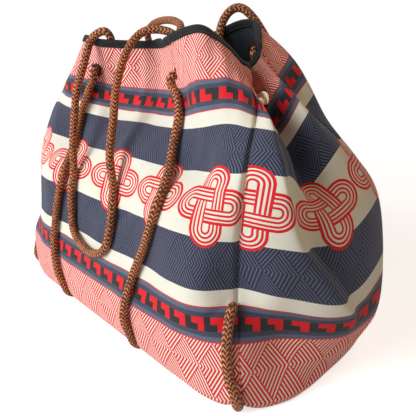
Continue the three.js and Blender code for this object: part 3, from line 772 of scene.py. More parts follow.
def dress(tree, shader, colour, tone, height, depth):
    """Gives a shader its colour times a tone, and a bump of this height, 0 to 1, and depth in mm."""
    tree.links.new(toned(tree, colour, tone), shader.inputs["Base Color"])
    bump = tree.nodes.new("ShaderNodeBump")
    bump.inputs["Strength"].default_value = 1.0
    bump.inputs["Distance"].default_value = depth * MM
    tree.links.new(height.socket, bump.inputs["Height"])
    tree.links.new(bump.outputs[0], shader.inputs["Normal"])


def ribs(distance, pitch):
    """A sine of this pitch in mm, from 0 to 1."""
    return (distance * (2 * math.pi / pitch)).sine() * 0.5 + 0.5


class Looks:
    """The materials, made once and shared by the pieces."""

    ready = {}

    @classmethod
    def get(cls, name):
        """The material of this name, made at its first use."""
        if name not in cls.ready:
            cls.ready[name] = getattr(cls, name)()
        return cls.ready[name]

    @staticmethod
    def printed_cloth():
        """The print with a plain weave of 0.7 mm and a matt, slightly downy face."""
        material, tree, shader = principled("Printed cloth", roughness=0.78, sheen=0.12, specular=0.35)
        u, v = uv_in_mm(tree, "Cloth")
        colour = group_node(tree, print_group(), u, v).outputs[0]
        weave = Number(tree, group_node(tree, weave_group(), u, v, 0.7).outputs[0])
        grain = grain_of(tree, 900.0)
        # The weave's tone is lighter where the weave stands higher, painted light and shade on its threads; the
        # grain's tone is the cloth's own.
        dress(tree, shader, colour, weave * 0.10 + grain * 0.10 + 0.90, weave + grain * 0.5, 0.08)
        return material

    @staticmethod
    def lining():
        """Dark cloth with a twill of 1.1 mm."""
        material, tree, shader = principled("Lining", roughness=0.85, sheen=0.2)
        u, v = uv_in_mm(tree, "Cloth")
        twill = ribs(u + v, 1.1)
        grain = grain_of(tree, 700.0)
        # The twill's tone is lighter where the twill stands higher, painted light and shade on its ribs; the
        # grain's tone is the cloth's own.
        dress(tree, shader, tint("lining"), twill * 0.25 + grain * 0.3 + 0.6, twill + grain * 0.5, 0.1)
        return material

    @staticmethod
    def binding():
        """Black tape with ribs of 0.9 mm across it."""
        material, tree, shader = principled("Binding tape", roughness=0.72, sheen=0.04, specular=0.25)
        rib = ribs(uv_in_mm(tree, "Cloth")[0], 0.9)
        grain = grain_of(tree, 800.0)
        # The ribs' tone is lighter where they stand higher, painted light and shade on the ribs; the grain's
        # tone is the tape's own.
        dress(tree, shader, tint("binding"), rib * 0.35 + grain * 0.5 + 0.5, rib + grain * 0.6, 0.12)
        return material

    @staticmethod
    def thread():
        """Dark sewing thread."""
        material, tree, shader = principled("Sewing thread", roughness=0.6)
        grain = grain_of(tree, 2500.0)
        dress(tree, shader, tint("thread"), grain * 0.6 + 0.7, grain, 0.08)
        return material

    @staticmethod
    def rope():
        """The braid with fine fibres over it."""
        material, tree, shader = principled("Braided rope", roughness=0.6, sheen=0.1)
        u, v = uv_in_mm(tree, "Rope")
        colour, height = group_node(tree, braid_group(), u * MM, v).outputs
        fibre = grain_of(tree, 1500.0)
        dress(tree, shader, colour, fibre * 0.6 + 0.78, Number(tree, height) + fibre * 0.3, 0.5)
        return material

    @staticmethod
    def black_metal():
        """Black paint on metal, glossier and duller by turns; on the stud caps' collars it is painted shade."""
        material, tree, shader = principled("Black painted eyelet", metallic=0.4)
        grain = grain_of(tree, 600.0)
        tree.links.new((grain * 0.25 + 0.25).socket, shader.inputs["Roughness"])
        dress(tree, shader, tint("eyelet_paint_and_collar_shade"), grain * 0.5 + 0.75, grain, 0.03)
        return material

    @staticmethod
    def bright_metal():
        """Warm, softly polished metal."""
        material, tree, shader = principled("Polished stud", metallic=1.0)
        grain = grain_of(tree, 500.0)
        tree.links.new((grain * 0.14 + 0.22).socket, shader.inputs["Roughness"])
        dress(tree, shader, tint("stud"), grain * 0.12 + 0.92, grain, 0.02)
        return material

    @staticmethod
    def board():
        """Matt pressed board."""
        material, tree, shader = principled("Base board")
        grain = grain_of(tree, 1200.0, 5.0)
        tree.links.new((grain * 0.2 + 0.5).socket, shader.inputs["Roughness"])
        dress(tree, shader, tint("board"), grain * 0.4 + 0.8, grain, 0.1)
        return material


# Ropes. The middle of a rope on the floor under the base is this high.
FLOOR_ROPE = ROPE_RADIUS - 0.5
# How far an end rope stands off the cloth: sewn into the seam, coming out of it, and lying beside it.
SEWN_STANDOFF = 3.8 - ROPE_DIAMETER
LEAVING_STANDOFF = 4.0 - ROPE_RADIUS
BESIDE_STANDOFF = 0.6

EYELETS = {
    "front_left": PANEL_WIDTH - FAR_EYELET_INSET,
    "front_right": NEAR_EYELET_INSET,
    "back_left": -GUSSET_WIDTH - PANEL_WIDTH + NEAR_EYELET_INSET,
    "back_right": -GUSSET_WIDTH - FAR_EYELET_INSET,
}
EYELET_HEIGHT = CLOTH_HEIGHT - EYELET_DROP


def from_middle(*places):
    """Points given from the middle of the bag's base, in mm."""
    return [CENTRE + np.array(at, float) for at in places]


def lying_on(start, places, standoff=ROPE_STANDOFF):
    """Points of a rope that lies on the cloth, from distances round the mouth after start and heights."""
    points = []
    for shift, height in places:
        at, _, out = place_on_cloth(start + shift, height)
        points.append(at + out * (ROPE_RADIUS + standoff))
    return points


def under(*places):
    """Points of a rope on the floor under the base, given from the bag's middle."""
    return [np.array([x, y, FLOOR_ROPE]) + CENTRE * np.array([1, 1, 0]) for x, y in places]


def turn_under(round_at):
    """The rope's way round the base edge from the wall to the floor, by distances out from the edge and
    heights."""
    edge = cloth([round_at], [0])[0, 0]
    along = cloth_frame([round_at], [0])[1][0, 0]
    outward = unit(np.array([-along[1], along[0], 0.0]))
    reach = ROPE_RADIUS + ROPE_STANDOFF
    steps = [
        (reach - 0.2, BASE_Z + 12), (reach - 2.2, BASE_Z + 5), (reach - 5.5, BASE_Z), (-5, FLOOR_ROPE + 1),
        (-12, FLOOR_ROPE),
    ]
    return [np.array([edge[0], edge[1], z]) + outward * out for out, z in steps]


def through_eyelet(name, rise=10.0):
    """Points through an eyelet along its axis, from inside, where the rope comes from rise mm above."""
    middle, up, out = place_on_cloth(EYELETS[name], EYELET_HEIGHT)
    steps = [(-WALL - 12, rise), (-WALL - 8, rise / 5), (-WALL - 2, 0), (2.0, 0), (6.0, -3), (7.0, -10)]
    return [middle + out * outward + up * upward for outward, upward in steps]


# The handles' pivots, in the order of the eyelets.
PIVOTS = dict(zip(EYELETS, from_middle((-79, -55, 337), (-17, -24, 337), (-104, 51, 336), (92, 55, 350))))

# How far along a handle's axis, from its CAD pivot, the free loop meets its cradle rope.
SLIDES = {"front_left": 10.0, "front_right": 8.0, "back_left": -8.0, "back_right": -7.0}


def meeting(name):
    """Where a free loop meets its cradle rope: a place on the axis through the side's two pivots."""
    side = name.split("_")[0]
    axis = unit(PIVOTS[side + "_right"] - PIVOTS[side + "_left"])
    return PIVOTS[name] + axis * SLIDES[name]


# Heights of the points where a cradle rope comes up the back.
BACK_HEIGHTS = (34, 60, 90, 120, 150, 180, 210, 240, 270, 296, 318)


def left_cradle():
    """The left cradle rope: over the front rim, down the front, under the base, up the back and over."""
    eye, back_eye = EYELETS["front_left"], EYELETS["back_left"]
    down = [(5, 318), (10, 296), (14, 272), (13, 248), (5, 222), (-3, 200), (-8, 180), (-7, 158), (1, 134),
            (8, 108), (8, 82), (3, 56), (-2, 34)]
    up = zip((-21, -19, -17, -14, -12, -10, -8, -6, -3, -1, 0), BACK_HEIGHTS)
    return [
        meeting("front_left"),
        *from_middle((-66, -47.5, 339), (-62, -43.5, 339), (-60.5, -39.5, 334.5), (-63, -35.5, 325),
                     (-71, -32, 314)),
        *through_eyelet("front_left"), *lying_on(eye, down), *turn_under(eye - 4),
        *under((-98, -60), (-94, 0), (-91, 60)),
        *turn_under(back_eye - 23)[::-1], *lying_on(back_eye, up), *through_eyelet("back_left")[::-1],
        *from_middle((-44, 20, 304), (-22, 7, 310), (-3, 8, 320), (4, 17, 332), (-4, 27, 341), (-22, 35, 347),
                     (-45, 41, 350.5), (-70, 45.5, 351), (-92, 47.5, 347.5), (-106, 49.5, 341.5)),
        meeting("back_left"),
    ]


def right_cradle():
    """The right cradle rope, which goes the same way."""
    eye, back_eye = EYELETS["front_right"], EYELETS["back_right"]
    down = [(-10, 314), (-15, 292), (-16, 268), (-19, 244), (-25, 220), (-34, 196), (-40, 172), (-33, 148),
            (-20, 124), (-8, 98), (-3, 74), (1, 50), (3, 34)]
    up = zip((-18, -16, -14, -12, -10, -8, -6, -4, -2, -1, 0), BACK_HEIGHTS)
    return [
        meeting("front_right"),
        *from_middle((-4, -14.5, 338), (4, -7, 337), (14, -1, 333), (24, 0, 326), (36, -6, 316),
                     (48, -14, 304)),
        *through_eyelet("front_right"), *lying_on(eye, down), *turn_under(eye + 2),
        *under((70, -60), (72, 0), (74, 60)),
        *turn_under(back_eye - 20)[::-1], *lying_on(back_eye, up), *through_eyelet("back_right", -13.0)[::-1],
        *from_middle((82, 41, 288), (73, 34, 284), (64, 30, 296), (60, 30, 316), (60.5, 34, 336),
                     (63.5, 39.5, 348), (69, 43.5, 354), (75, 47.5, 356), (80.5, 51.5, 354)),
        meeting("back_right"),
    ]


def end_rope(sign, front_seam, back_seam):
    """An end rope, on the near end with sign 1 and on the far end with -1: out of the front seam, down
    beside it, under the base, and up into the back seam."""
    spread = 1 if sign > 0 else 0.6
    beside = [(8, END_ROPE_TOP - 8), (10, 62), (10.5, 44), (9, 28)]
    beside = [(shift * spread, height) for shift, height in beside]
    return [
        *lying_on(front_seam, [(5 * sign, END_ROPE_TOP)], SEWN_STANDOFF),
        *lying_on(front_seam, [(6 * sign, END_ROPE_TOP - 1)], LEAVING_STANDOFF),
        *lying_on(front_seam, beside, BESIDE_STANDOFF),
        *turn_under(front_seam + 4 * spread),
        *under((sign * 223, -50), (sign * 223, 0), (sign * 221, 45)),
        *turn_under(back_seam)[::-1],
        *lying_on(back_seam, [(0, 26), (0, 44), (0, 62)], CORNER_STANDOFF),
        *lying_on(back_seam, [(0, END_ROPE_TOP - 8)], 1.4),
        *lying_on(back_seam, [(0, END_ROPE_TOP - 1)], LEAVING_STANDOFF),
        *lying_on(back_seam, [(0, END_ROPE_TOP)], SEWN_STANDOFF),
    ]


def front_loop():
    """The front handle, which hangs down on the front and lies on it."""
    rest = [(284, 178), (281, 150), (279, 126), (275, 108), (262, 97), (242, 91), (218, 91), (201, 98),
            (193, 112), (192, 130), (196, 154), (204, 180)]
    return [
        meeting("front_left"),
        *from_middle((-74.5, -53.5, 334), (-78.5, -57, 328), (-80.5, -61, 318), (-82, -69, 298),
                     (-83, -80, 274), (-82, -88, 243), (-79, -97, 206)),
        *lying_on(0, rest),
        *from_middle((6, -94, 200), (-3, -78, 246), (-12, -66, 276), (-17, -52, 302), (-17.5, -40, 320),
                     (-15.5, -30, 330.5), (-13, -24, 335)),
        meeting("front_right"),
    ]


def back_loop():
    """The back handle, which hangs down behind the bag."""
    return [
        meeting("back_left"),
        *from_middle((-114, 54, 328), (-113, 62, 314), (-110, 78, 294), (-107, 97, 262), (-99, 115, 215),
                     (-80, 126, 176), (-45, 131, 150), (-5, 132, 142), (40, 132, 150), (76, 127, 178),
                     (98, 118, 215), (104, 104, 262), (100, 86, 300), (93, 70, 327), (89, 60, 342)),
        meeting("back_right"),
    ]


# Points worked out between two points of a route, the domed ends' angles in degrees and their flat tip.
CURVE_STEPS = 24
DOME = (72, 50, 25)
TIP = 0.15 * ROPE_RADIUS
FLOOR_CLEAR = 0.02


def flowing(points, step):
    """Even points, step mm apart, on the centripetal Catmull-Rom curve through the given ones."""
    points = np.array(points, float)
    points = np.concatenate([[2 * points[0] - points[1]], points, [2 * points[-1] - points[-2]]])
    gaps = np.sqrt(np.linalg.norm(np.diff(points, axis=0), axis=1))
    t = np.linspace(0, 1, CURVE_STEPS, endpoint=False)[:, None]
    dense = []
    for i in range(1, len(points) - 2):
        a, b, c, d = points[i - 1 : i + 3]
        g0, g1, g2 = gaps[i - 1 : i + 2]
        start = ((b - a) / g0 - (c - a) / (g0 + g1) + (c - b) / g1) * g1
        stop = ((c - b) / g1 - (d - b) / (g1 + g2) + (d - c) / g2) * g1
        dense.append(cubic(t, b, start, c, stop))
    dense = np.concatenate(dense + [points[-2:-1]])
    along = np.concatenate([[0], np.cumsum(np.linalg.norm(np.diff(dense, axis=0), axis=1))])
    even = np.linspace(0, along[-1], int(along[-1] / step) + 1)
    return np.stack([np.interp(even, along, dense[:, k]) for k in range(3)], 1), along[-1]


def carried_frames(path):
    """Tangents and two side directions that turn as little as possible along the path."""
    tangents = unit(np.gradient(path, axis=0))
    side = unit(np.cross(tangents[0], [0.3, 0.5, 0.8]))
    sides = [side]
    for tangent in tangents[1:]:
        side = unit(side - tangent * np.dot(side, tangent))
        sides.append(side)
    sides = np.array(sides)
    return tangents, sides, np.cross(tangents, sides)


def braid_relief(around, along):
    """Height of the braid in mm. Columns of strands lean to alternate sides, each strand a bulge with a
    sine section, and the columns meet in shallow valleys."""
    across = around * BRAID_COLUMNS
    column = np.floor(across)
    share = across - column
    slant = np.where(np.mod(column, 2) > 0.5, 1 - share, share)
    strand = along / BRAID_PITCH + slant * BRAID_SLANT
    within = strand - np.floor(strand)
    return BRAID_DEPTH * np.sin(np.pi * within) ** 0.6 * (0.55 + 0.45 * np.sin(np.pi * share)) - BRAID_SINK


def braided_tube(name, route, sides, step, floor_flat=False):
    """A rope as a tube with the braid's relief, domed ends, and a UV map of the share round it and metres.
    Gives its mesh, its path and its length."""
    path, length = flowing(route, step)
    tangents, first, second = carried_frames(path)
    stops = len(path)
    along = np.linspace(0, length, stops)
    dome = np.radians(DOME)
    radius = np.concatenate([np.cos(dome), np.ones(stops), np.cos(dome[::-1])])
    shift = np.concatenate([-np.sin(dome), np.zeros(stops), np.sin(dome[::-1])]) * ROPE_RADIUS
    pick = np.concatenate([np.zeros(3, int), np.arange(stops), np.full(3, stops - 1)])
    along = along[pick] + shift
    angles = np.arange(sides) * 2 * np.pi / sides
    share = np.arange(sides) / sides
    height = braid_relief(share[None, :], along[:, None])
    reach = (ROPE_RADIUS + height) * radius[:, None]
    centre = path[pick] + tangents[pick] * shift[:, None]
    points = (
        centre[:, None]
        + first[pick][:, None] * (np.cos(angles) * reach)[..., None]
        + second[pick][:, None] * (np.sin(angles) * reach)[..., None]
    )
    if floor_flat:
        points[..., 2] = np.maximum(points[..., 2], FLOOR_CLEAR)
    rings = len(pick)
    index = np.arange(rings * sides).reshape(rings, sides)
    faces = grid_faces(ring_round(index))
    tips = np.stack([centre[0] - tangents[0] * TIP, centre[-1] + tangents[-1] * TIP])
    head, tail = rings * sides, rings * sides + 1
    around = np.roll(index[0], -1)
    fans = np.concatenate([
        np.stack([np.full(sides, head), around, index[0]], 1),
        np.stack([np.full(sides, tail), index[-1], np.roll(index[-1], -1)], 1),
    ])
    vertices = np.concatenate([points.reshape(-1, 3), tips])
    mesh = smooth_mesh(name, vertices, faces[:, ::-1].tolist() + fans[:, ::-1].tolist())
    ring_number = np.repeat(np.arange(rings - 1), sides)
    side_number = np.tile(np.arange(sides), rings - 1)
    corners = [(0, 0), (0, 1), (1, 1), (1, 0)][::-1]
    quads = np.stack(
        [np.stack([(side_number + ds) / sides, along[ring_number + dr] * MM], 1) for dr, ds in corners], 1
    )
    ends = np.zeros((2 * sides * 3, 2))
    ends[:, 0] = 0.5 / BRAID_COLUMNS
    ends[: sides * 3, 1] = along[0] * MM
    ends[sides * 3 :, 1] = along[-1] * MM
    set_loop_uv(mesh, "Rope", np.concatenate([quads.reshape(-1, 2), ends]))
    return mesh, path, length


# Lathes.
def lathe_mesh(name, profile, segments, round_at, height, lift=0.0, lean=(0, 0, 0), shade_steps=0):
    """A profile of (radius, distance outwards) turned about the cloth's normal at a place on the cloth.
    The faces of its first steps, as many as the last argument gives, have the second material, the black of
    painted shade."""
    profile = np.array(profile, float)
    centre, up, out = place_on_cloth(round_at, height)
    centre = centre + tucks([round_at], [height])[0, 0] + out * lift
    out = unit(out + np.array(lean, float))
    side = unit(np.cross(out, up))
    angles = np.arange(segments) * 2 * np.pi / segments
    ring = np.cos(angles)[:, None] * side + np.sin(angles)[:, None] * np.cross(out, side)
    points = centre + profile[:, None, :1] * ring[None] + profile[:, None, 1:] * out
    index = np.arange(len(profile) * segments).reshape(len(profile), segments)
    faces = grid_faces(ring_round(index))
    slots = np.repeat(np.arange(len(profile) - 1) < shade_steps, segments).astype(int)
    return smooth_mesh(name, points.reshape(-1, 3), faces.tolist(), slots)


def arc(cx, cy, radius, start, stop, count):
    """Points on a circle from one angle to another, in degrees."""
    angles = np.radians(np.linspace(start, stop, count))
    return [(cx + radius * math.cos(a), cy + radius * math.sin(a)) for a in angles]


def eyelet_profile():
    """A barrel through the cloth with its front edge rolled over in a half circle."""
    bore, flange = EYELET_BORE / 2, EYELET_FLANGE / 2
    roll = (flange - bore) / 2
    return [
        (bore, -WALL - 2.6), (bore + 0.05, -0.2), *arc(bore + roll, 0.5, roll, 180, 0, 14),
        (flange - 0.2, 0.05), (bore + 0.7, -0.1), (bore + 0.7, -WALL - 2.6), (bore, -WALL - 2.6),
    ]


def washer_profile():
    """A flat ring inside the cloth with a rounded outer edge."""
    bore, flange, thick = EYELET_BORE / 2 + 1.3, EYELET_FLANGE / 2, 0.8
    low = -WALL - 2.5
    return [
        (bore, low), (bore, low + thick), (flange, low + thick),
        *arc(flange - thick / 2, low + thick / 2, thick / 2, 0, -90, 5), (bore, low),
    ]


# Steps of the cap's profile that belong to its collar, which is black as painted shade for the shadowed gap
# under the cap.
SHADE_COLLAR_STEPS = 4


def cap_profile():
    """A collar, black as painted shade for the gap under it, whose steps come first, under a domed cap with a
    rolled edge.
    """
    cap = SNAP_CAP_DIAMETER / 2
    dome = [(cap * math.sin(a), 1.6 + 2.0 * math.cos(a)) for a in np.radians(np.linspace(82, 2, 14))]
    shade_collar = [(0.01, -0.4), (cap + 1.0, -0.3), (cap + 1.4, 0.2), (cap + 1.0, 0.8), (cap - 0.7, 0.9)]
    return [*shade_collar, *arc(cap - 0.45, 1.25, 0.45, -80, 40, 7), *dome, (0.01, 3.6)]


def inner_stud_profile(socket):
    """The half behind the cloth: a socket with a rounded rim, or a stud with a round head."""
    low = -WALL - 4.4
    body = 5.0
    if socket:
        return [
            (2.1, low), (3.6, low), *arc(4.2, low + 0.8, 0.8, -90, 0, 6), (body, low + 2.2), (body, low + 3.0),
            (2.1, low + 3.0), (2.1, low),
        ]
    return [
        (2.1, low - 1.5), *arc(2.8, low - 1.0, 0.5, -90, 30, 6), (3.0, low + 0.6), (body - 0.2, low + 2.1),
        *arc(body - 0.3, low + 2.5, 0.3, -60, 60, 5), (2.1, low + 3.0), (2.1, low - 1.5),
    ]


SNAP_HEIGHT = CLOTH_HEIGHT - SNAP_DROP
SNAPS = {
    "near_front": -GUSSET_WIDTH / 2 + SNAP_SPREAD,
    "near_back": -GUSSET_WIDTH / 2 - SNAP_SPREAD,
    "far_front": PANEL_WIDTH + GUSSET_WIDTH / 2 - SNAP_SPREAD,
    "far_back": PANEL_WIDTH + GUSSET_WIDTH / 2 + SNAP_SPREAD,
}
# How far the stud that shows in the photograph leans out of its fold.
STUD_LEAN = (0.55, 0.1, 0.15)


# Cloth pieces. A panel's mesh is finer this near its seams, and open this far round an eyelet's middle.
PANEL_EDGE = 30.0
EYELET_HOLE = 6.4


def layer_edge(line, count):
    """Quads from a row of vertices to the same row one layer on, count vertices later."""
    return np.stack([line[:-1], line[1:], line[1:] + count, line[:-1] + count], 1)


def two_layers(name, outer, inner, outside, inside, edge):
    """A thin closed form, its outside in the first material and its inside and edge in the second."""
    slots = np.concatenate([np.zeros(len(outside), int), np.ones(len(inside) + len(edge), int)])
    points = np.concatenate([outer.reshape(-1, 3), inner.reshape(-1, 3)])
    return smooth_mesh(name, points, np.concatenate([outside, inside, edge]).tolist(), slots)


def panel_mesh(name, start, stop, print_shift, step, strength):
    """A panel as a thin closed form: printed face outside, lining inside, open where eyelets pass."""
    rows = int(round(CLOTH_HEIGHT / step))
    fine = int(round(PANEL_EDGE / step * 2))
    middle = int(round((abs(stop - start) - 2 * PANEL_EDGE) / step))
    rounds = np.concatenate([
        np.linspace(start, start + PANEL_EDGE, fine, endpoint=False),
        np.linspace(start + PANEL_EDGE, stop - PANEL_EDGE, middle, endpoint=False),
        np.linspace(stop - PANEL_EDGE, stop, fine + 1),
    ])
    heights = np.linspace(0, CLOTH_HEIGHT, rows + 1)
    outer, out = face(rounds, heights, strength)
    inner = outer - out * CLOTH_THICKNESS
    count = len(rounds) * (rows + 1)
    index = np.arange(count).reshape(len(rounds), rows + 1)
    outside, inside = grid_faces(index), grid_faces(index + count, flip=True)
    middles = outer.reshape(-1, 3)[outside].mean(1)
    keep = np.ones(len(outside), bool)
    for round_at in EYELETS.values():
        centre = cloth([round_at], [EYELET_HEIGHT])[0, 0]
        keep &= np.linalg.norm(middles - centre, axis=1) > EYELET_HOLE
    edge = np.concatenate([
        layer_edge(index[:, 0], count), layer_edge(index[:, -1], count)[:, ::-1],
        layer_edge(index[0], count)[:, ::-1], layer_edge(index[-1], count),
    ])
    mesh = two_layers(name, outer, inner, outside[keep], inside[keep], edge)
    r, h = np.meshgrid(print_shift - rounds, heights, indexing="ij")
    h = h - print_climb(rounds, heights) + print_sag(rounds, heights)
    if name == "near_end_cloth":
        r = r + hidden_cloth(rounds, heights, True)
    elif name == "far_end_cloth":
        r = r - hidden_cloth(rounds - PANEL_WIDTH, heights, True)
    elif name == "front_cloth":
        r = r - hidden_cloth(rounds, heights, False) + front_ease(rounds)[:, None]
    uv = np.stack([r.ravel(), h.ravel()], 1) * MM
    set_uv(mesh, "Cloth", np.concatenate([uv, uv]))
    return mesh


# The print's climb: how much, the place round the mouth of its middle, its reach, and the height at which
# it is full. Then how the cloth hidden in a seam fades: on an end panel it is whole up to the first
# distance and gone at the second.
CLIMB, CLIMB_AT, CLIMB_REACH, CLIMB_FULL = 9.0, -200.0, 72.0, 80.0
END_FADE = (4.0, 90.0)
SIDE_FADE = 40.0


def print_climb(rounds, heights):
    """How much higher the print runs near the bag's near back corner, in mm: a bell round that corner
    that grows from the base edge."""
    gap = wrapped(np.asarray(rounds, float) - CLIMB_AT)
    return CLIMB * bell(gap, CLIMB_REACH)[:, None] * np.clip(heights / CLIMB_FULL, 0, 1)[None]


def print_sag(rounds, heights):
    """How much lower the print hangs on the near end panel, in mm: a bell across, steeper on the
    seam's side above the lower bands, whose depth is the table's."""
    middle = np.interp(heights, (60, 150), (-100, -84))
    gap = wrapped(np.asarray(rounds, float)[:, None] - middle[None])
    deep = np.interp(heights, (0, 46, 63, 82, 113, 152, 190, 235, 280), (0, 4, 9, 15, 13, 9, 7, 4, 0))
    width = np.where(gap > 0, np.interp(heights, (90, 140), (46, 28))[None], 46)
    return bell(gap, width) * deep[None]


def front_ease(rounds):
    """How far the front's print is eased towards the far seam, in mm, in straight stretches."""
    return np.interp(rounds, (0, 43, 90, 172, 258, 344, 387, 430), (-4, -5, -2, -7, 2, 15, 16, 13))


def hidden_cloth(gap, heights, end_panel):
    """Cloth hidden in a corner seam's crease, in mm, by distance from the seam: the print's place runs
    on by this much. On an end panel it fades in a straight line, on a side panel it is an exponential
    and only in the upper navy band."""
    if end_panel:
        deep = np.interp(heights, (100, 130, 260, 330, CLOTH_HEIGHT), (0, 10, 10, 6, 4))
        share = np.clip((END_FADE[1] - np.abs(gap)) / (END_FADE[1] - END_FADE[0]), 0, 1)
    else:
        deep = np.interp(heights, (205, 230, 262, 290), (0, 10, 10, 0))
        share = np.exp(-np.abs(gap) / SIDE_FADE)
    return share[:, None] * deep[None]


# The base is drawn in rings from its edge towards a spine this long each way, down to this share. Its
# print starts this far from the middle.
BASE_SPINE = 150.0
BASE_RINGS = 34
BASE_INNERMOST = 0.02
BASE_PRINT = -170.0


def base_mesh(name, step):
    """The base cloth: rings between the panels' lower edge and the spine, level but for its hang between
    the ropes."""
    rounds = np.linspace(-PERIMETER / 2, PERIMETER / 2, int(PERIMETER / step), endpoint=False)
    edge = face(rounds, [0.0])[0][:, 0]
    spine = np.stack([np.clip(edge[:, 0], -BASE_SPINE, BASE_SPINE), np.zeros(len(edge)), edge[:, 2]], 1)
    shares = np.linspace(1, BASE_INNERMOST, BASE_RINGS)
    points = spine[None] + (edge - spine)[None] * shares[:, None, None]
    points[1:, :, 2] = BASE_Z - BASE_HANG * clear_of_ropes(points[1:, :, 0], points[1:, :, 1])
    upper = points + np.array([0, 0, CLOTH_THICKNESS])
    count = points.shape[0] * points.shape[1]
    closed = ring_round(np.arange(count).reshape(points.shape[:2]))
    below, above = grid_faces(closed), grid_faces(closed + count, flip=True)
    mesh = two_layers(name, points, upper, below, above, layer_edge(closed[0], count))
    flat = np.concatenate([points.reshape(-1, 3), upper.reshape(-1, 3)])
    set_uv(mesh, "Cloth", np.stack([flat[:, 0], BASE_PRINT - flat[:, 1]], 1) * MM)
    return mesh


def rim_points(rounds, across, along, strength):
    """Points of the binding's section: across is out from the face, along is up from the rim."""
    heights = np.array([CLOTH_HEIGHT + min(value, 0.0) for value in along])
    order = np.argsort(heights)
    points, out = face(rounds, heights[order], strength)
    up = cloth_frame(rounds, [CLOTH_HEIGHT])[0][:, 0]
    result = np.empty_like(points)
    for place_in, k in enumerate(order):
        result[:, k] = points[:, place_in] + out[:, place_in] * across[k] + up * max(along[k], 0.0)
    return result


def binding_mesh(name, step, strength):
    """Tape folded over the raw edge: a rounded channel, closed, that follows the rim."""
    rounds = np.linspace(-PERIMETER / 2, PERIMETER / 2, int(PERIMETER / step), endpoint=False)
    deep = BINDING_DEPTH
    thick = CLOTH_THICKNESS
    outer = [(0.3, -deep), (1.3, -deep), (1.7, -deep + 1.2), (1.5, -deep + 2.0), (1.9, -3.0), (1.9, -0.5)]
    crown = [(1.3, 1.2), (0.1, 1.9), (-thick - 0.1, 1.9), (-thick - 1.3, 1.2)]
    inner = [(-thick - across, along) for across, along in outer[::-1]]
    section = np.array(outer + crown + inner)
    points = rim_points(rounds, section[:, 0], section[:, 1], strength)
    count = len(section)
    index = np.arange(len(rounds) * count).reshape(len(rounds), count)
    closed = ring_round(np.concatenate([index, index[:1]], 0))
    mesh = smooth_mesh(name, points.reshape(-1, 3), grid_faces(closed).tolist())
    lengths = np.concatenate([[0], np.cumsum(np.linalg.norm(np.diff(section, axis=0), axis=1))])
    r, s = np.meshgrid(rounds, lengths, indexing="ij")
    set_uv(mesh, "Cloth", np.stack([r.ravel(), s.ravel()], 1) * MM)
    return mesh


# A stitch: sides of its section, its rings as (share of the pitch along, radius), how far it lies out of
# the cloth's face on its own side, and how far above the tape's lower edge.
STITCH_SIDES = 6
STITCH_RINGS = ((-0.34, 0.1), (-0.26, 0.32), (0.26, 0.32), (0.34, 0.1))
STITCH_OUT = 1.75
STITCH_UP = 1.7


def stitches_mesh(name, pitch, strength):
    """Sewing thread along the binding's lower edge: a small rounded stitch each pitch, outside and inside."""
    rounds = np.arange(-PERIMETER / 2, PERIMETER / 2, pitch)
    drop = -BINDING_DEPTH + STITCH_UP
    vertices, faces = [], []
    ring = np.radians(np.arange(STITCH_SIDES) * 360 / STITCH_SIDES)
    for across in (STITCH_OUT, -CLOTH_THICKNESS - STITCH_OUT):
        middle = rim_points(rounds, np.array([across]), np.array([drop]), strength)[:, 0]
        up, along, out = (grid[:, 0] for grid in cloth_frame(rounds, [CLOTH_HEIGHT + drop]))
        for share, radius in STITCH_RINGS:
            centre = middle + along * share * pitch
            loop = up[:, None] * np.cos(ring)[:, None] + out[:, None] * np.sin(ring)[:, None]
            vertices.append(centre[:, None] + loop * radius)
    points = np.stack(vertices, 1)
    index = np.arange(points[..., 0].size).reshape(points.shape[:3])
    for side in (slice(0, len(STITCH_RINGS)), slice(len(STITCH_RINGS), None)):
        block = np.concatenate([index[:, side], index[:, side, :1]], 2)
        quads = np.stack([block[:, :-1, :-1], block[:, :-1, 1:], block[:, 1:, 1:], block[:, 1:, :-1]], -1)
        faces.append(quads.reshape(-1, 4))
    return smooth_mesh(name, points.reshape(-1, 3), np.concatenate(faces).tolist())


# The camera in mm and degrees, found from the photograph with the bag's own sizes.
CAMERA_PLACE = (499.5, -358.4, 319.4 + BASE_Z)
CAMERA_TURN = (71.301, 2.529, 49.228)
CAMERA_LENS = 41.964

# Lamps and floor, in metres and watts: each lamp's place, what it is turned to and its width.
KEY_PLACE, KEY_TARGET, KEY_WIDTH = (-0.38, -1.70, 0.95), (0.0, 0.0, 0.18), 1.5
FILL_PLACE, FILL_TARGET, FILL_WIDTH = (1.0, 0.45, 1.9), (0.1, 0.0, 0.2), 1.2
KEY_POWER = 36.5
FILL_POWER = 7.0
KEY_COLOUR = (1.0, 1.0, 1.0)
FILL_COLOUR = (1.0, 0.68, 0.38)
WORLD_TINT = (1.0, 0.76, 0.50, 1)
WORLD_LIGHT = 0.09
WHITE = (1, 1, 1, 1)
FLOOR_COLOUR = (0.86, 0.86, 0.86, 1)
FLOOR_GLOW = 0.74
FLOOR_REACH = 4.0
# The floor turns white from this far from the middle, over this distance.
FADE_START = 0.35
FADE_WIDTH = 0.75


# The add-on.
def length_setting(name, description, default, least):
    """A setting in metres, from a default and a least value in mm."""
    return bpy.props.FloatProperty(
        name=name, description=description, default=default * MM, min=least * MM, precision=4,
        subtype="DISTANCE", unit="LENGTH",
    )


def share_setting(name, description, default, most=1.0):
    """A setting from 0 to 1, or to another upper limit."""
    return bpy.props.FloatProperty(
        name=name, description=description, default=default, min=0.0, max=most, subtype="FACTOR"
    )


def power_setting(name, description, default):
    """A lamp's power in watts."""
    return bpy.props.FloatProperty(name=name, description=description, default=default, min=0.0, unit="POWER")


def colour_setting(name, description, default):
    """A colour with its four linear values."""
    return bpy.props.FloatVectorProperty(
        name=name, description=description, default=default, size=4, min=0.0, max=1.0, subtype="COLOR"
    )


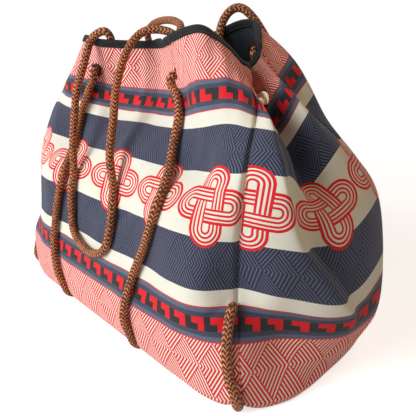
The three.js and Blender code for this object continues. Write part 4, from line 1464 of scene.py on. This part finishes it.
class BagClothSettings(bpy.types.PropertyGroup):
    """Sizes of the cloth, the binding and its stitching."""

    step: length_setting("Grid step", "Spacing of the cloth's mesh", 2.2, 1.0)
    strength: share_setting("Wrinkles", "Strength of the gathers and of the cloth's unevenness", 1.0, 2.0)
    stitch: length_setting("Stitch length", "Distance from one stitch of the binding to the next", 3.4, 1.0)


class BagRopeSettings(bpy.types.PropertyGroup):
    """Sizes of the ropes' meshes."""

    sides: bpy.props.IntProperty(name="Sides", description="Mesh sides round each rope", default=40, min=12)
    step: length_setting("Step", "Spacing of the mesh along each rope", 0.8, 0.4)


class BagColours(bpy.types.PropertyGroup):
    """Colours of the print, the ropes and the fittings."""

    cream: colour_setting("Cream", "Ground of the print", linear(238, 237, 224))
    red: colour_setting("Red", "Knots, thin stripes and frets", linear(226, 20, 34))
    pink_red: colour_setting("Lozenge red", "Lines of the lozenges on cream", linear(222, 26, 40))
    black: colour_setting("Fret black", "Ground of the frets", linear(26, 26, 33))
    slate: colour_setting("Slate", "Stripes beside the frets", linear(62, 66, 86))
    grey_blue: colour_setting("Grey blue", "Outer stripes beside the frets", linear(96, 102, 124))
    navy_light: colour_setting("Light navy", "Lines of the lozenges on navy", linear(86, 94, 122))
    navy_dark: colour_setting("Dark navy", "Ground of the navy bands", linear(32, 34, 50))
    # The rope orange deepens, and at the very edge turns towards rope black, on each strand's edges as painted
    # shade.
    orange: colour_setting("Rope orange", "Middle of the rope's bright strands", linear(255, 152, 62))
    orange_deep: colour_setting("Deep rope orange", "Edges of the rope's bright strands", linear(206, 84, 22))
    braid_black: colour_setting("Rope black", "Dark strands of the rope", linear(22, 17, 18))
    lining: colour_setting("Lining", "Cloth inside the bag", linear(22, 27, 40))
    binding: colour_setting("Binding", "Tape round the mouth", linear(20, 20, 23))
    thread: colour_setting("Thread", "Stitching along the tape", linear(34, 34, 38))
    # Eyelet black is also on the stud caps' collars, where it is painted shade for the gap under each cap.
    eyelet_paint_and_collar_shade: colour_setting(
        "Eyelet black", "Paint on eyelets, washers and stud collars", linear(26, 26, 28)
    )
    stud: colour_setting("Stud", "Metal of the press studs", linear(224, 206, 176))
    board: colour_setting("Board", "Stiffener inside the base", linear(46, 46, 50))


class BagStageSettings(bpy.types.PropertyGroup):
    """The camera's lens and the light."""

    lens: bpy.props.FloatProperty(
        name="Lens", description="Focal length", default=CAMERA_LENS, min=10.0, unit="CAMERA"
    )
    key: power_setting("Key light", "Power of the large lamp in front", KEY_POWER)
    fill: power_setting("Fill light", "Power of the warm lamp above the near end", FILL_POWER)
    world: share_setting("World light", "Strength of the light from all round", WORLD_LIGHT)
    floor: share_setting("Floor glow", "How much paler the floor looks than it is lit", FLOOR_GLOW)


class BAG_OT_ropes(bpy.types.Operator):
    """Braided ropes that cradle the bag, and the free loops that are its handles."""

    bl_idname = "bag.ropes"
    bl_label = "Ropes and handles"

    def execute(self, context):
        settings = context.scene.bag_ropes
        step = settings.step / MM
        held = {
            "cradle_rope_left": left_cradle(),
            "cradle_rope_right": right_cradle(),
            "end_rope_near": end_rope(1, 0.0, -GUSSET_WIDTH),
            "end_rope_far": end_rope(-1, PANEL_WIDTH, PANEL_WIDTH + GUSSET_WIDTH),
        }
        for node, route in held.items():
            mesh = braided_tube(node + "_braid", route, settings.sides, step, floor_flat=True)[0]
            place(node + "_braid", mesh, [Looks.get("rope")], "bag", "rope", node)
        for node, route in (("front_handle", front_loop()), ("back_handle", back_loop())):
            mesh, path, length = braided_tube(node + "_braid", route, settings.sides, step)
            piece = place(node + "_braid", mesh, [Looks.get("rope")], node, "rope", node)
            exit_point = tuple(route[0] * MM)
        return {"FINISHED"}


class BAG_OT_cloth(bpy.types.Operator):
    """Printed and lined panels, end panels and base."""

    bl_idname = "bag.cloth"
    bl_label = "Cloth"

    def execute(self, context):
        settings = context.scene.bag_cloth
        step = settings.step / MM
        looks = [Looks.get("printed_cloth"), Looks.get("lining")]
        half = REPEAT / 2
        pieces = {
            "front_cloth": ("front_panel", 0.0, PANEL_WIDTH, PANEL_WIDTH),
            "back_cloth": ("back_panel", -GUSSET_WIDTH - PANEL_WIDTH, -GUSSET_WIDTH, -GUSSET_WIDTH),
            "near_end_cloth": ("gusset_near", -GUSSET_WIDTH, 0.0, REPEAT + half - GUSSET_WIDTH / 2),
            "far_end_cloth": (
                "gusset_far", PANEL_WIDTH, PANEL_WIDTH + GUSSET_WIDTH,
                REPEAT + half + PANEL_WIDTH + GUSSET_WIDTH / 2,
            ),
        }
        for name, (node, start, stop, print_shift) in pieces.items():
            mesh = panel_mesh(name, start, stop, print_shift, step, settings.strength)
            place(name, mesh, looks, "bag", "printed_cloth", node)
        place("base_cloth", base_mesh("base_cloth", step), looks, "bag", "printed_cloth", "base_panel")
        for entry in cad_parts["base_board"].material_slots:
            entry.material = Looks.get("board")
        return {"FINISHED"}


class BAG_OT_rim(bpy.types.Operator):
    """Tape over the raw edge of the mouth, with its stitching."""

    bl_idname = "bag.rim"
    bl_label = "Rim binding"

    def execute(self, context):
        settings = context.scene.bag_cloth
        step = settings.step / MM
        mesh = binding_mesh("rim_tape", step, settings.strength)
        place("rim_tape", mesh, [Looks.get("binding")], "bag", "binding", "rim_binding")
        mesh = stitches_mesh("rim_stitches", settings.stitch / MM, settings.strength)
        place("rim_stitches", mesh, [Looks.get("thread")], "bag", "binding")
        return {"FINISHED"}


class BAG_OT_fittings(bpy.types.Operator):
    """Rolled eyelets with their washers, and domed press studs."""

    bl_idname = "bag.fittings"
    bl_label = "Eyelets and press studs"

    def execute(self, context):
        dark, bright = [Looks.get("black_metal")], [Looks.get("bright_metal")]
        for name, round_at in EYELETS.items():
            for kind, profile in (("eyelet", eyelet_profile()), ("washer", washer_profile())):
                piece = f"{kind}_{name}_ring"
                mesh = lathe_mesh(piece, profile, 48, round_at, EYELET_HEIGHT)
                place(piece, mesh, dark, "bag", "eyelet_metal", f"{kind}_{name}")
        for name, round_at in SNAPS.items():
            piece = f"stud_{name}_cap"
            lean = STUD_LEAN if name == "near_back" else (0, 0, 0)
            # The cap's collar gets the black metal as painted shade for the gap under the cap.
            mesh = lathe_mesh(piece, cap_profile(), 48, round_at, SNAP_HEIGHT, 1.0, lean, SHADE_COLLAR_STEPS)
            place(piece, mesh, bright + dark, "bag", "stud_metal", f"snap_cap_{name}")
            piece = f"stud_{name}_inside"
            mesh = lathe_mesh(piece, inner_stud_profile(name.endswith("back")), 40, round_at, SNAP_HEIGHT)
            place(piece, mesh, bright, "bag", "stud_metal", f"snap_inside_{name}")
        return {"FINISHED"}


def area_light(name, place_at, target, size, energy, colour):
    """A round soft lamp, turned to its target."""
    lamp = bpy.data.lights.new(name, "AREA")
    lamp.shape = "DISK"
    lamp.size = size
    lamp.energy = energy
    lamp.color = colour
    light = bpy.data.objects.new(name, lamp)
    light.location = place_at
    light.rotation_euler = (Vector(target) - Vector(place_at)).to_track_quat("-Z", "Y").to_euler()
    bpy.context.scene.collection.objects.link(light)


def seen_directly(tree):
    """1 for rays of the camera, also by way of a mirror or glass, and 0 for all other light."""
    rays = tree.nodes.new("ShaderNodeLightPath")
    camera, mirror, glass = (
        Number(tree, rays.outputs[label]) for label in ("Is Camera Ray", "Is Glossy Ray", "Is Transmission Ray")
    )
    return camera.most(mirror).most(glass)


def floor_material():
    """A matt floor that looks paler than it is lit, and fades to white away from the bag."""
    material, tree, shader = principled("Pale floor", roughness=0.9, specular=0.1)
    shader.inputs["Base Color"].default_value = FLOOR_COLOUR
    seen = seen_directly(tree)
    where = tree.nodes.new("ShaderNodeTexCoord")
    split = tree.nodes.new("ShaderNodeSeparateXYZ")
    tree.links.new(where.outputs["Object"], split.inputs[0])
    far = Number(tree, split.outputs[0]).length_with(Number(tree, split.outputs[1]))
    fade = ((far - FADE_START) / FADE_WIDTH).most(0.0).least(1.0)
    base = tree.nodes.new("ShaderNodeEmission")
    tree.links.new((seen * bpy.context.scene.bag_stage.floor).socket, base.inputs["Strength"])
    white = tree.nodes.new("ShaderNodeEmission")
    white.inputs["Strength"].default_value = 1.0
    both = tree.nodes.new("ShaderNodeAddShader")
    mix = tree.nodes.new("ShaderNodeMixShader")
    output = next(node for node in tree.nodes if node.type == "OUTPUT_MATERIAL")
    for source, socket in (
        (shader, both.inputs[0]), (base, both.inputs[1]), (both, mix.inputs[1]), (white, mix.inputs[2]),
        (mix, output.inputs["Surface"]),
    ):
        tree.links.new(source.outputs[0], socket)
    tree.links.new((fade * seen).socket, mix.inputs[0])
    return material


class BAG_OT_stage(bpy.types.Operator):
    """The photograph's camera, a pale floor and soft studio light."""

    bl_idname = "bag.stage"
    bl_label = "Camera, floor and light"

    def execute(self, context):
        scene = context.scene
        settings = scene.bag_stage
        scene.view_settings.view_transform = "Standard"
        lens = bpy.data.cameras.new("camera")
        lens.lens = settings.lens
        lens.sensor_width = 36.0
        lens.clip_start = 0.01
        camera = bpy.data.objects.new("camera", lens)
        camera.location = [value * MM for value in CAMERA_PLACE]
        camera.rotation_euler = Euler([math.radians(value) for value in CAMERA_TURN], "XYZ")
        scene.collection.objects.link(camera)
        scene.camera = camera

        mesh = bpy.data.meshes.new("floor")
        corners = [(-1, -1), (1, -1), (1, 1), (-1, 1)]
        mesh.from_pydata([(x * FLOOR_REACH, y * FLOOR_REACH, 0) for x, y in corners], [], [(0, 1, 2, 3)])
        mesh.materials.append(floor_material())
        floor = bpy.data.objects.new("floor", mesh)
        scene.collection.objects.link(floor)

        world = bpy.data.worlds.new("studio")
        scene.world = world
        world.use_nodes = True
        tree = world.node_tree
        seen = seen_directly(tree)
        background = next(node for node in tree.nodes if node.type == "BACKGROUND")
        tree.links.new(blend_colours(tree, seen, WORLD_TINT, WHITE), background.inputs["Color"])
        tree.links.new((seen * (1 - settings.world) + settings.world).socket, background.inputs["Strength"])

        area_light("key", KEY_PLACE, KEY_TARGET, KEY_WIDTH, settings.key, KEY_COLOUR)
        area_light("fill", FILL_PLACE, FILL_TARGET, FILL_WIDTH, settings.fill, FILL_COLOUR)
        return {"FINISHED"}


GROUPS = {
    "cloth": BagClothSettings, "ropes": BagRopeSettings, "colours": BagColours, "stage": BagStageSettings,
}


class BAG_PT_panel(bpy.types.Panel):
    """The settings, group by group, and a button for each group of pieces."""

    bl_label = "Tote bag"
    bl_idname = "BAG_PT_panel"
    bl_space_type = "VIEW_3D"
    bl_region_type = "UI"
    bl_category = "Tote bag"

    def draw(self, context):
        for label, group in GROUPS.items():
            box = self.layout.box()
            box.label(text=label.capitalize())
            settings = getattr(context.scene, "bag_" + label)
            for name in group.__annotations__:
                box.prop(settings, name)
        for name in ("stage", "ropes", "cloth", "rim", "fittings"):
            self.layout.operator("bag." + name)


CLASSES = (
    BagClothSettings, BagRopeSettings, BagColours, BagStageSettings, BAG_OT_stage, BAG_OT_ropes, BAG_OT_cloth,
    BAG_OT_rim, BAG_OT_fittings, BAG_PT_panel,
)


def register():
    """Makes the classes known to Blender and gives the scene its groups of settings."""
    for cls in CLASSES:
        bpy.utils.register_class(cls)
    for label, group in GROUPS.items():
        setattr(bpy.types.Scene, "bag_" + label, bpy.props.PointerProperty(type=group))


def unregister():
    """Takes the settings and the classes away again."""
    for label in GROUPS:
        delattr(bpy.types.Scene, "bag_" + label)
    for cls in reversed(CLASSES):
        bpy.utils.unregister_class(cls)


def main():
    """Builds the stage and all pieces."""
    register()
    bpy.ops.bag.stage()
    bpy.ops.bag.ropes()
    bpy.ops.bag.cloth()
    bpy.ops.bag.rim()
    bpy.ops.bag.fittings()


if __name__ == "__main__":
    main()
